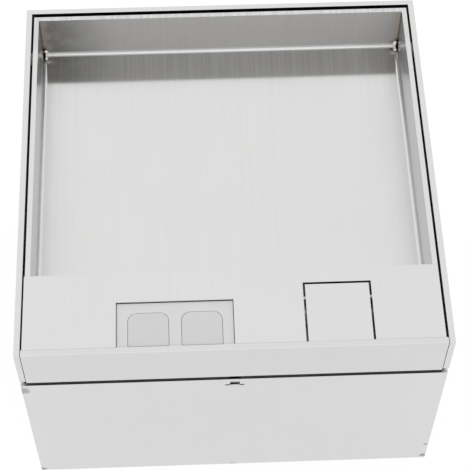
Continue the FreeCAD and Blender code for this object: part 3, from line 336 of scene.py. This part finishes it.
# darkens the box's front at the listed spots, the top left one painted shade
def darkSpotsAndCornerShade(tree, place, colour):
    axes = axesOf(tree, place.outputs["Object"])
    patch = noise(tree, place.outputs["Object"], darkSpotLook["patchPerMetre"], detail=2.0)
    for *spot, size, strength in darkSpots.values():
        radius = size * mm
        waver = radius * darkSpotLook["waver"]
        gap = distance(tree, *[minus(tree, axes[axis], spot[axis] * mm) for axis in range(3)])
        gap = plus(tree, gap, remap(tree, patch, 0.3, 0.7, -waver, waver))
        mark = remap(tree, gap, radius * darkSpotLook["core"], radius, strength, 0.0, smooth=True)
        colour = mixColour(tree, mark, colour, darkSpotLook["spotColour"])
    return colour


trayLook = dict(brushedLook, grainHeight=0.000006)
# worn edges on the brushed pieces, and a painted highlight on the bend below the tray's back wall: a
# brighter, rougher copy of the sheet
wornEdgeAndHighlightLook = dict(brushedLook, colour=(0.78, 0.778, 0.774), roughness=0.34, anisotropy=0.0)
sheet = brushedSteel("brushedSheet", brushedLook)
traySheet = brushedSteel("brushedTraySheet", trayLook, marks=trayMarks, bow=floorBow)
# the inside of the tray's back wall, in painted shade
paintedShadeWall = brushedSteel("paintedShadeBackWall", paintedShadeWallLook, marks=paintWallShade)
boxSheet = brushedSteel("brushedBoxSheet", brushedLook, marks=darkSpotsAndCornerShade)
wornEdgeAndBendHighlight = brushedSteel("wornEdgeAndBendHighlight", wornEdgeAndHighlightLook)
plateSheet = brushedSteel("brushedPlateSheet", dict(brushedLook, colour=(0.662, 0.661, 0.658)))

plasticLook = {
    "insertGrey": {"colour": (0.655, 0.657, 0.657), "roughness": 0.42, "grain": 0.000012},
    "tongueGrey": {"colour": (0.61, 0.612, 0.612), "roughness": 0.42, "grain": 0.000012},
    "socketWhite": {"colour": (0.76, 0.76, 0.74), "roughness": 0.24, "grain": 0.000005},
    "dataGrey": {"colour": (0.045, 0.047, 0.05), "roughness": 0.45, "grain": 0.000012},
    "bushGrey": {"colour": (0.42, 0.425, 0.42), "roughness": 0.5, "grain": 0.000012},
    "stripRubber": {"colour": (0.022, 0.022, 0.022), "roughness": 0.72, "grain": 0.00003},
    # painted shade: near black, for the skirt, standing in for the shade in the gap under the frame
    "skirtPaintedShade": {"colour": (0.05, 0.05, 0.05), "roughness": 0.6, "grain": 0.00001},
}


mouldLook = {"grainPerMetre": 3200.0, "cloudPerMetre": 45.0, "dulling": 0.965,
             "smoother": 0.05, "rougher": 0.06}


def mouldedPlastic(name, look):
    material, tree, shader, place = newMaterial(name)
    fine = noise(tree, place.outputs["Object"], mouldLook["grainPerMetre"], detail=2.0)
    clouds = noise(tree, place.outputs["Object"], mouldLook["cloudPerMetre"], detail=3.0)
    dull = tuple(channel * mouldLook["dulling"] for channel in look["colour"])
    colour = mixColour(tree, remap(tree, clouds, 0.3, 0.7, 0.0, 1.0), dull, look["colour"])
    rough = remap(tree, clouds, 0.3, 0.7, look["roughness"] - mouldLook["smoother"],
                  look["roughness"] + mouldLook["rougher"])
    setLook(tree, shader, colour, rough, bumped(tree, fine, 0.4, look["grain"]))
    return material


platedLook = {
    "zincSteel": {"colour": (0.60, 0.61, 0.62), "dull": (0.47, 0.48, 0.49), "roughness": 0.34},
    "springSteel": {"colour": (0.55, 0.55, 0.55), "dull": (0.42, 0.42, 0.42), "roughness": 0.28},
    "contactBrass": {"colour": (0.78, 0.58, 0.27), "dull": (0.60, 0.43, 0.19), "roughness": 0.30},
    "weldMetal": {"colour": (0.96, 0.955, 0.94), "dull": (0.74, 0.71, 0.67), "roughness": 0.20},
}


coatLook = {"grainPerMetre": 1500.0, "cloudPerMetre": 140.0, "grain": 0.000008,
            "smoother": 0.06, "rougher": 0.12}


def platedMetal(name, look):
    material, tree, shader, place = newMaterial(name)
    clouds = noise(tree, place.outputs["Object"], coatLook["cloudPerMetre"], detail=5.0, roughness=0.6)
    fine = noise(tree, place.outputs["Object"], coatLook["grainPerMetre"], detail=2.0)
    colour = mixColour(tree, remap(tree, clouds, 0.4, 0.72, 0.0, 1.0), look["colour"], look["dull"])
    rough = remap(tree, clouds, 0.3, 0.7, look["roughness"] - coatLook["smoother"],
                  look["roughness"] + coatLook["rougher"])
    shader.inputs["Metallic"].default_value = 1.0
    setLook(tree, shader, colour, rough, bumped(tree, fine, 0.3, coatLook["grain"]))
    return material


finishes = {name: mouldedPlastic(name, look) for name, look in plasticLook.items()}
finishes.update({name: platedMetal(name, look) for name, look in platedLook.items()})
print("finishes made:", len(finishes), "plastics and coated metals besides the brushed sheets")


# meshes

mergeFit = {"gap": 1e-7, "flatDegrees": 0.5}


def link(name, mesh):
    piece = bpy.data.objects.new(name, mesh)
    bpy.context.scene.collection.objects.link(piece)
    return piece


def mergedCopy(node):
    solid = bmesh.new()
    solid.from_mesh(cadNodes[node].data)
    bmesh.ops.remove_doubles(solid, verts=solid.verts, dist=mergeFit["gap"])
    flat = math.radians(mergeFit["flatDegrees"])
    bmesh.ops.dissolve_limit(solid, angle_limit=flat, verts=solid.verts, edges=solid.edges)
    return solid


# the lowest and highest corners of each loose piece in a node, in no fixed order
def shells(node):
    solid = mergedCopy(node)
    waiting, boxes = set(solid.verts), []
    while waiting:
        stack, found = [waiting.pop()], []
        while stack:
            vertex = stack.pop()
            found.append(vertex.co.copy())
            for edge in vertex.link_edges:
                other = edge.other_vert(vertex)
                if other in waiting:
                    waiting.remove(other)
                    stack.append(other)
        boxes.append((Vector([min(point[axis] for point in found) for axis in range(3)]),
                      Vector([max(point[axis] for point in found) for axis in range(3)])))
    solid.free()
    return boxes


def freeze(piece, name):
    bpy.context.view_layer.update()
    mesh = bpy.data.meshes.new_from_object(piece.evaluated_get(bpy.context.evaluated_depsgraph_get()))
    mesh.name = name
    bpy.data.objects.remove(piece)
    return link(name, mesh)


def settle(piece, slot, *replaced):
    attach(piece, bodyOf[replaced[0]])
    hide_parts(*replaced)
    return piece


# plates, nuts and moulded covers with broken edges: asked width in mm, finish of faces and of edges, slot.
# On pieces with small cut-outs the edges come out narrower than asked, on the housing hardly broken at all.

brokenEdges = {
    "housing": (0.30, boxSheet, wornEdgeAndBendHighlight, "brushed_sheet"),
    "floor_frame": (0.22, sheet, wornEdgeAndBendHighlight, "brushed_sheet"),
    "frame_front_plate": (0.22, plateSheet, wornEdgeAndBendHighlight, "brushed_sheet"),
    "lid_tray": (0.20, traySheet, wornEdgeAndBendHighlight, "brushed_sheet"),
    "outlet_bar": (0.20, sheet, wornEdgeAndBendHighlight, "brushed_sheet"),
    "lift_handle": (0.14, sheet, wornEdgeAndBendHighlight, "brushed_sheet"),
    "handle_cup": (0.18, sheet, wornEdgeAndBendHighlight, "brushed_sheet"),
    "device_plate": (0.15, finishes["zincSteel"], finishes["zincSteel"], "zinc_steel"),
    "cable_insert": (0.12, finishes["insertGrey"], finishes["insertGrey"], "light_grey_plastic"),
    "cable_flap_left": (0.10, finishes["tongueGrey"], finishes["tongueGrey"], "light_grey_plastic"),
    "cable_flap_right": (0.10, finishes["tongueGrey"], finishes["tongueGrey"], "light_grey_plastic"),
    "socket_body_1": (0.25, finishes["socketWhite"], finishes["socketWhite"], "socket_white"),
    "socket_body_2": (0.25, finishes["socketWhite"], finishes["socketWhite"], "socket_white"),
    "data_module_plate": (0.25, finishes["socketWhite"], finishes["socketWhite"], "socket_white"),
    "data_jack_1": (0.12, finishes["dataGrey"], finishes["dataGrey"], "data_grey"),
    "data_jack_2": (0.12, finishes["dataGrey"], finishes["dataGrey"], "data_grey"),
    "bar_nuts": (0.25, finishes["zincSteel"], finishes["zincSteel"], "zinc_steel"),
    "earth_nuts": (0.25, finishes["zincSteel"], finishes["zincSteel"], "zinc_steel"),
    "levelling_nuts": (0.30, finishes["zincSteel"], finishes["zincSteel"], "zinc_steel"),
    "cable_saddle": (0.20, finishes["zincSteel"], finishes["zincSteel"], "zinc_steel"),
}
bevelLook = {"segments": 2, "sharpDegrees": 40, "flatWeight": 90}
edgeWearAndBendHighlight, shadedWallFinish = 1, 2        # places in a piece's list of finishes, after its faces

# small fits: fronts nearer the front plate, flaps nearer the insert, pressed bridges that end lower
closeFront = {"nodes": ("outlet_bar", "cable_insert", "lift_handle"), "front": -96.5 * mm,
              "closer": 0.33 * mm}
flapFit = {"wider": 1.012, "backOver": 0.5 * mm, "backBy": 0.12 * mm}
bridgeCut = {"half": 2.31 * mm, "inner": 96.0 * mm, "outer": 99.01 * mm, "top": 98.1 * mm,
             "height": 5 * mm}

# the tray's faces with a finish of their own: the inside of its back wall, a darker copy of the sheet as
# painted shade, and the bend below it, which gets the brighter edge finish as a painted highlight
trayFaces = {"wallFacing": 0.99, "wallNear": 0.1 * mm, "bendTurns": (0.1, 0.985), "bendFacing": 0.1,
             "bendRise": 2.5 * mm}


def easeFlap(solid, node):
    low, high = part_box(node)
    middle = (low[0] + high[0]) / 2
    for vertex in solid.verts:
        vertex.co.x = middle + (vertex.co.x - middle) * flapFit["wider"]
        if vertex.co.y > high[1] - flapFit["backOver"]:
            vertex.co.y += flapFit["backBy"]


# the pressed bridges end a little below the housing's rim
def bridgeCutters():
    solid = bmesh.new()
    for side in (-1, 1):
        box = bmesh.ops.create_cube(solid, size=1.0)["verts"]
        for vertex in box:
            x, y, z = vertex.co
            vertex.co = (x * 2 * bridgeCut["half"],
                         side * (bridgeCut["outer"] if y > 0 else bridgeCut["inner"]),
                         bridgeCut["top"] + (z + 0.5) * bridgeCut["height"])
    bmesh.ops.recalc_face_normals(solid, faces=solid.faces)
    mesh = bpy.data.meshes.new("bridgeCutters")
    solid.to_mesh(mesh)
    solid.free()
    return link("bridgeCutters", mesh)


def finishTray(mesh):
    mesh.materials.append(paintedShadeWall)
    lowest, highest = trayFaces["bendTurns"]
    for polygon in mesh.polygons:
        normal, middle = polygon.normal, polygon.center
        fromWall = abs(middle.y - weldLook["cornerY"])
        # painted shade: the faces on the inside of the back wall get the darker copy of the sheet
        if normal.y < -trayFaces["wallFacing"] and fromWall < trayFaces["wallNear"]:
            polygon.material_index = shadedWallFinish
        # painted highlight: the faces of the bend below the back wall get the brighter edge finish
        elif (lowest < normal.z < highest and normal.y < -trayFaces["bendFacing"]
              and middle.z < weldLook["floorZ"] + trayFaces["bendRise"]):
            polygon.material_index = edgeWearAndBendHighlight


def breakEdges(node, width, face, edge, slot):
    solid = mergedCopy(node)
    if node in closeFront["nodes"]:
        for vertex in solid.verts:
            if vertex.co.y < closeFront["front"]:
                vertex.co.y -= closeFront["closer"]
    if node.startswith("cable_flap"):
        easeFlap(solid, node)
    mesh = bpy.data.meshes.new(node + "Rough")
    solid.to_mesh(mesh)
    solid.free()
    mesh.materials.append(face)
    mesh.materials.append(edge)
    mesh.polygons.foreach_set("use_smooth", [True] * len(mesh.polygons))
    if node == "lid_tray":
        finishTray(mesh)
    rough = link(node + "Rough", mesh)
    if node == "housing":
        cutters = bridgeCutters()
        cut = rough.modifiers.new("bridgeCut", "BOOLEAN")
        cut.object = cutters
        cut.operation = "DIFFERENCE"
        cut.solver = "EXACT"
    bevel = rough.modifiers.new("brokenEdges", "BEVEL")
    bevel.width = width * mm
    bevel.segments = bevelLook["segments"]
    bevel.limit_method = "ANGLE"
    bevel.angle_limit = math.radians(bevelLook["sharpDegrees"])
    bevel.material = edgeWearAndBendHighlight
    weighted = rough.modifiers.new("flatFaces", "WEIGHTED_NORMAL")
    weighted.weight = bevelLook["flatWeight"]
    weighted.keep_sharp = True
    finished = freeze(rough, node + "Finished")
    if node == "housing":
        bpy.data.objects.remove(cutters)
    return settle(finished, slot, node)


for node, (width, face, edge, slot) in brokenEdges.items():
    piece = breakEdges(node, width, face, edge, slot)
    worn = sum(polygon.area for polygon in piece.data.polygons if polygon.material_index == edgeWearAndBendHighlight)
    print("broken edges:", node, len(piece.data.polygons), "faces,", round(worn * 1e6, 1), "mm2 of edge")


# threads, screws and weld beads are geometry node trees

def newTree(name, inputs):
    tree = bpy.data.node_groups.new(name, "GeometryNodeTree")
    tree.interface.new_socket(name="Geometry", in_out="INPUT", socket_type="NodeSocketGeometry")
    for label, kind, value in inputs:
        socket = tree.interface.new_socket(name=label, in_out="INPUT", socket_type=kind)
        if value is not None:
            socket.default_value = value
    tree.interface.new_socket(name="Geometry", in_out="OUTPUT", socket_type="NodeSocketGeometry")
    return tree, addNode(tree, "NodeGroupInput").outputs


def smoothByAngle(tree, geometry, degrees):
    soft = addNode(tree, "GeometryNodeSetShadeSmooth", {"Geometry": geometry, "Shade Smooth": True})
    angle = addNode(tree, "GeometryNodeInputMeshEdgeAngle").outputs[0]
    sharp = calculate(tree, "GREATER_THAN", angle, math.radians(degrees))
    edges = {"Geometry": soft.outputs[0], "Selection": sharp, "Shade Smooth": False}
    return addNode(tree, "GeometryNodeSetShadeSmooth", edges, domain="EDGE").outputs[0]


def finishTree(tree, geometry, material):
    real = addNode(tree, "GeometryNodeRealizeInstances", {"Geometry": geometry})
    coated = addNode(tree, "GeometryNodeSetMaterial", {"Geometry": real.outputs[0], "Material": material})
    addNode(tree, "NodeGroupOutput", {"Geometry": coated.outputs[0]})


def positionAxes(tree):
    return axesOf(tree, addNode(tree, "GeometryNodeInputPosition").outputs[0])


def movedTo(tree, geometry, place):
    return addNode(tree, "GeometryNodeSetPosition", {"Geometry": geometry, "Position": place}).outputs[0]


def cutBy(tree, geometry, *cutters):
    cut = addNode(tree, "GeometryNodeMeshBoolean", {"Mesh 1": geometry},
                  operation="DIFFERENCE", solver="EXACT")
    for cutter in cutters:
        tree.links.new(cutter, cut.inputs["Mesh 2"])
    return cut.outputs[0]


threadShape = {"rowsPerTurn": 6.0, "depthInPitches": 0.55, "around": 28, "smoothDegrees": 50}


# a right-hand threaded rod whose top is at the origin and which hangs down
def threadedRod(tree, radius, length, pitch, around=threadShape["around"]):
    turns = calculate(tree, "DIVIDE", length, pitch)
    rows = calculate(tree, "CEIL", times(tree, turns, threadShape["rowsPerTurn"]))
    rod = addNode(tree, "GeometryNodeMeshCylinder",
                  {"Vertices": around, "Side Segments": rows, "Radius": radius, "Depth": length})
    x, y, z = positionAxes(tree)
    turn = calculate(tree, "DIVIDE", calculate(tree, "ARCTAN2", y, x), math.tau)
    phase = minus(tree, calculate(tree, "DIVIDE", z, pitch), turn)
    groove = times(tree, calculate(tree, "PINGPONG", phase, 0.5), 2.0)
    depth = times(tree, times(tree, pitch, threadShape["depthInPitches"]), groove)
    keep = minus(tree, 1.0, calculate(tree, "DIVIDE", depth, radius))
    lowered = minus(tree, z, times(tree, length, 0.5))
    return movedTo(tree, rod.outputs[0], vector(tree, times(tree, x, keep), times(tree, y, keep), lowered))


# the head in screw diameters, its dome's fall in head heights, its drive in head radii
screwShape = {"headRadius": 0.85, "headHeight": 0.55, "domeFall": 0.45, "driveLong": 1.15, "driveWide": 0.26,
              "headAround": 40, "threadAround": 20, "smoothDegrees": 38}


def screwTree():
    tree, given = newTree("panHeadScrew", [
        ("Diameter", "NodeSocketFloat", 0.003), ("Length", "NodeSocketFloat", 0.008),
        ("Pitch", "NodeSocketFloat", 0.0005), ("Turn Over", "NodeSocketFloat", 0.0),
        ("Material", "NodeSocketMaterial", None)])
    radius = times(tree, given["Diameter"], screwShape["headRadius"])
    height = times(tree, given["Diameter"], screwShape["headHeight"])
    head = addNode(tree, "GeometryNodeMeshCylinder", {
        "Vertices": screwShape["headAround"], "Side Segments": 3, "Fill Segments": 7,
        "Radius": radius, "Depth": height})
    x, y, z = positionAxes(tree)
    out = calculate(tree, "DIVIDE", distance(tree, x, y), radius)
    upper = remap(tree, z, 0.0, times(tree, height, 0.5), 0.0, 1.0)
    fall = times(tree, calculate(tree, "POWER", out, 3.0), times(tree, height, -screwShape["domeFall"]))
    raised = plus(tree, plus(tree, z, times(tree, fall, upper)), times(tree, height, 0.5))
    domed = movedTo(tree, head.outputs[0], vector(tree, x, y, raised))
    long = times(tree, radius, screwShape["driveLong"])
    wide = times(tree, radius, screwShape["driveWide"])
    lift = vector(tree, z=height)
    cross = []
    for size in ((long, wide), (wide, long)):
        bar = addNode(tree, "GeometryNodeMeshCube", {"Size": vector(tree, *size, height)}).outputs[0]
        lifted = addNode(tree, "GeometryNodeTransform", {"Geometry": bar, "Translation": lift})
        cross.append(lifted.outputs[0])
    whole = addNode(tree, "GeometryNodeJoinGeometry", {"Geometry": cutBy(tree, domed, *cross)})
    thread = threadedRod(tree, times(tree, given["Diameter"], 0.5), given["Length"], given["Pitch"],
                         screwShape["threadAround"])
    tree.links.new(thread, whole.inputs[0])
    turned = addNode(tree, "GeometryNodeTransform",
                     {"Geometry": whole.outputs[0], "Rotation": vector(tree, given["Turn Over"])}).outputs[0]
    points = addNode(tree, "GeometryNodeMeshToPoints", {"Mesh": given["Geometry"]})
    spun = addNode(tree, "FunctionNodeRandomValue", {2: 0.0, 3: math.pi, "Seed": 7}, data_type="FLOAT")
    screw = smoothByAngle(tree, turned, screwShape["smoothDegrees"])
    placed = addNode(tree, "GeometryNodeInstanceOnPoints",
                     {"Points": points.outputs[0], "Instance": screw,
                      "Rotation": vector(tree, z=spun.outputs[1])})
    finishTree(tree, placed.outputs[0], given["Material"])
    return tree


hexagonCorner = 0.57735        # a hexagon's corner radius for one unit across its flats


def rodTree():
    tree, given = newTree("threadedRod", [
        ("Diameter", "NodeSocketFloat", 0.006), ("Length", "NodeSocketFloat", 0.02),
        ("Pitch", "NodeSocketFloat", 0.001), ("Key Across", "NodeSocketFloat", 0.003),
        ("Key Depth", "NodeSocketFloat", 0.0001), ("Material", "NodeSocketMaterial", None)])
    rod = threadedRod(tree, times(tree, given["Diameter"], 0.5), given["Length"], given["Pitch"])
    key = addNode(tree, "GeometryNodeMeshCylinder", {
        "Vertices": 6, "Radius": times(tree, given["Key Across"], hexagonCorner),
        "Depth": times(tree, given["Key Depth"], 2.0)})
    bored = smoothByAngle(tree, cutBy(tree, rod, key.outputs[0]), threadShape["smoothDegrees"])
    points = addNode(tree, "GeometryNodeMeshToPoints", {"Mesh": given["Geometry"]})
    placed = addNode(tree, "GeometryNodeInstanceOnPoints", {"Points": points.outputs[0], "Instance": bored})
    finishTree(tree, placed.outputs[0], given["Material"])
    return tree


# weld beads of overlapping drops in the tray's bottom corners: lengths in mm, drop sizes as shares of width
beadLook = {"width": 2.3, "step": 0.45, "up": 3.0, "along": 2.4, "in": 1.3, "sizes": (0.7, 1.15)}


def beadTree():
    tree, given = newTree("weldBead", [
        ("Width", "NodeSocketFloat", 0.0012), ("Step", "NodeSocketFloat", 0.0005),
        ("Seed", "NodeSocketInt", 3), ("Material", "NodeSocketMaterial", None)])
    path = addNode(tree, "GeometryNodeMeshToCurve", {"Mesh": given["Geometry"]}).outputs[0]
    spaced = addNode(tree, "GeometryNodeCurveToPoints", {"Curve": path, "Length": given["Step"]},
                     mode="LENGTH")
    radius = times(tree, given["Width"], 0.5)
    blob = addNode(tree, "GeometryNodeMeshIcoSphere", {"Radius": radius, "Subdivisions": 3})
    smallest, largest = beadLook["sizes"]
    size = addNode(tree, "FunctionNodeRandomValue", {2: smallest, 3: largest, "Seed": given["Seed"]},
                   data_type="FLOAT").outputs[1]
    placed = addNode(tree, "GeometryNodeInstanceOnPoints",
                     {"Points": spaced.outputs[0], "Instance": blob.outputs[0],
                      "Scale": vector(tree, size, size, size)})
    real = addNode(tree, "GeometryNodeRealizeInstances", {"Geometry": placed.outputs[0]})
    soft = addNode(tree, "GeometryNodeSetShadeSmooth", {"Geometry": real.outputs[0], "Shade Smooth": True})
    finishTree(tree, soft.outputs[0], given["Material"])
    return tree


trees = {"screw": screwTree(), "rod": rodTree(), "bead": beadTree()}


def grow(name, tree, points, values, edges=()):
    mesh = bpy.data.meshes.new(name + "Points")
    mesh.from_pydata([tuple(point) for point in points], list(edges), [])
    holder = link(name + "Points", mesh)
    modifier = holder.modifiers.new(name, "NODES")
    modifier.node_group = tree
    for item in tree.interface.items_tree:
        if item.in_out == "INPUT" and item.name in values:
            modifier[item.identifier] = values[item.name]
    return freeze(holder, name)


# 1 for a head on top, -1 for a head below, and the thread's pitch in mm
screwSets = {
    "device_plate_screws": (1, 0.7), "module_screws": (1, 0.5), "cable_saddle_screws": (1, 0.7),
    "cable_insert_screws": (-1, 0.45), "handle_cup_screws": (-1, 0.5),
}
for node, (upward, pitch) in screwSets.items():
    boxes = shells(node)
    low, high = boxes[0]
    diameter = (high.x - low.x) / (2 * screwShape["headRadius"])
    head = diameter * screwShape["headHeight"]
    seats = [((a.x + b.x) / 2, (a.y + b.y) / 2, b.z - head if upward > 0 else a.z + head) for a, b in boxes]
    values = {"Diameter": diameter, "Length": high.z - low.z - head, "Pitch": pitch * mm,
              "Turn Over": 0.0 if upward > 0 else math.pi, "Material": finishes["zincSteel"]}
    settle(grow(node + "Made", trees["screw"], seats, values), "zinc_steel", node)

# pitch, width of the hexagon socket in the top and its depth, in mm
rodSets = {
    "levelling_screw_front_left": (1.0, 3.0, 3.0), "levelling_screw_front_right": (1.0, 3.0, 3.0),
    "levelling_screw_rear_left": (1.0, 3.0, 3.0), "levelling_screw_rear_right": (1.0, 3.0, 3.0),
    "bar_studs": (0.7, 0.3, 0.2), "earth_stud": (1.0, 0.3, 0.2),
}
for node, (pitch, keyAcross, keyDepth) in rodSets.items():
    boxes = shells(node)
    low, high = boxes[0]
    values = {"Diameter": high.x - low.x, "Length": high.z - low.z, "Pitch": pitch * mm,
              "Key Across": keyAcross * mm, "Key Depth": keyDepth * mm, "Material": finishes["zincSteel"]}
    tops = [((a.x + b.x) / 2, (a.y + b.y) / 2, b.z) for a, b in boxes]
    settle(grow(node + "Made", trees["rod"], tops, values), "zinc_steel", node)
print("screws and threads made")

for side, name in ((-1, "left"), (1, "right")):
    inset = beadLook["in"] * mm
    corner = Vector((side * (weldLook["cornerX"] - inset), weldLook["cornerY"] - inset,
                     weldLook["floorZ"] + inset))
    points = [corner + Vector((0, 0, beadLook["up"] * mm)), corner,
              corner + Vector((0, -beadLook["along"] * mm, 0))]
    values = {"Width": beadLook["width"] * mm, "Step": beadLook["step"] * mm, "Seed": 4 + side,
              "Material": finishes["weldMetal"]}
    bead = grow("cornerBead_" + name, trees["bead"], points, values, edges=((0, 1), (1, 2)))
    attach(bead, bodyOf["lid_tray"])
print("weld beads made")


# carried-over pieces keep their shape and get their finish

finishOf = {
    "zincSteel": ["levelling_shelves", "device_rail_left", "device_rail_right", "earth_clip_1",
                  "earth_clip_2", "earth_washers", "lid_ledge_left", "lid_ledge_right",
                  "levelling_lug_front_left", "levelling_lug_front_right", "levelling_lug_rear_left",
                  "levelling_lug_rear_right", "hinge_pin_left", "hinge_pin_right", "flap_hinge_pin",
                  "handle_pin"],
    "springSteel": ["flap_spring_left", "flap_spring_right", "handle_spring"],
    "contactBrass": ["socket_contacts", "data_jack_contacts"],
    "bushGrey": ["hinge_bush_left", "hinge_bush_right"],
    "stripRubber": ["rest_strip_left", "rest_strip_right"],
    # painted shade: the skirt is near black, so that the gap under the frame reads dark
    "skirtPaintedShade": ["frame_skirt"],
}
for finish, members in finishOf.items():
    for node in members:
        mesh = cadNodes[node].data
        mesh.materials.clear()
        mesh.materials.append(finishes[finish])
print("carried-over pieces finished")


# floor, light and camera

studioLook = {
    "floorSize": 4.0,
    "floorColour": 0.88,
    "floorGlow": 1.07,
    "floorGlowShare": 0.8,
    "sky": 1.0,
}

# a direction, the cosines at which the change starts and is full, and the brightness there
roomParts = {
    "behind": ((0.0, 0.52, 0.854), 0.45, 0.95, 1.10),
    "aboveCamera": ((0.0, -0.52, 0.854), 0.90, 0.985, 1.08),
    "right": ((1.0, 0.0, 0.0), 0.0, 0.24, 0.965),
}


def seenDirectly(tree):
    paths = addNode(tree, "ShaderNodeLightPath").outputs
    shiny = calculate(tree, "MAXIMUM", paths["Is Glossy Ray"], paths["Is Transmission Ray"])
    return calculate(tree, "MAXIMUM", paths["Is Camera Ray"], shiny)


floorMesh = bpy.data.meshes.new("studioFloor")
half = studioLook["floorSize"] / 2
floorCorners = [(-half, -half, 0), (half, -half, 0), (half, half, 0), (-half, half, 0)]
floorMesh.from_pydata(floorCorners, [], [(0, 1, 2, 3)])
floor = link("studioFloor", floorMesh)
floorMaterial = bpy.data.materials.new("studioFloor")
floorMaterial.use_nodes = True
tree = floorMaterial.node_tree
tree.nodes.clear()
matte = addNode(tree, "ShaderNodeBsdfDiffuse", {"Color": (*[studioLook["floorColour"]] * 3, 1.0)})
glow = addNode(tree, "ShaderNodeEmission", {"Strength": studioLook["floorGlow"]})
share = times(tree, seenDirectly(tree), studioLook["floorGlowShare"])
mixed = addNode(tree, "ShaderNodeMixShader", {0: share, 1: matte.outputs[0], 2: glow.outputs[0]})
addNode(tree, "ShaderNodeOutputMaterial", {"Surface": mixed.outputs[0]})
floorMesh.materials.append(floorMaterial)

world = bpy.data.worlds.new("studioRoom")
bpy.context.scene.world = world
world.use_nodes = True
tree = world.node_tree
tree.nodes.clear()
direction = addNode(tree, "ShaderNodeTexCoord").outputs["Generated"]


def lean(part):
    towards, starts, full, brightness = roomParts[part]
    dot = addNode(tree, "ShaderNodeVectorMath", {0: direction, 1: towards}, operation="DOT_PRODUCT")
    return remap(tree, dot.outputs["Value"], starts, full, 0.0, brightness - studioLook["sky"], smooth=True)


behindAndAbove = plus(tree, lean("behind"), lean("aboveCamera"))
strength = plus(tree, plus(tree, studioLook["sky"], lean("right")), behindAndAbove)
room = addNode(tree, "ShaderNodeBackground", {"Color": (1.0, 1.0, 1.0, 1.0), "Strength": strength})
addNode(tree, "ShaderNodeOutputWorld", {"Surface": room.outputs[0]})

cameraPlace = {
    "location": (-0.01607, -0.41840, 0.75294),
    "turnDegrees": (31.3467, -0.3337, -2.2104),
    "lens": 118.5,
    "sensorWidth": 36.0,
}
cameraData = bpy.data.cameras.new("studioCamera")
cameraData.lens = cameraPlace["lens"]
cameraData.sensor_width = cameraPlace["sensorWidth"]
cameraData.clip_start = 0.01
camera = bpy.data.objects.new("studioCamera", cameraData)
camera.location = cameraPlace["location"]
camera.rotation_euler = [math.radians(angle) for angle in cameraPlace["turnDegrees"]]
bpy.context.scene.collection.objects.link(camera)
bpy.context.scene.camera = camera
bpy.context.scene.view_settings.view_transform = "Standard"
print("studio set")
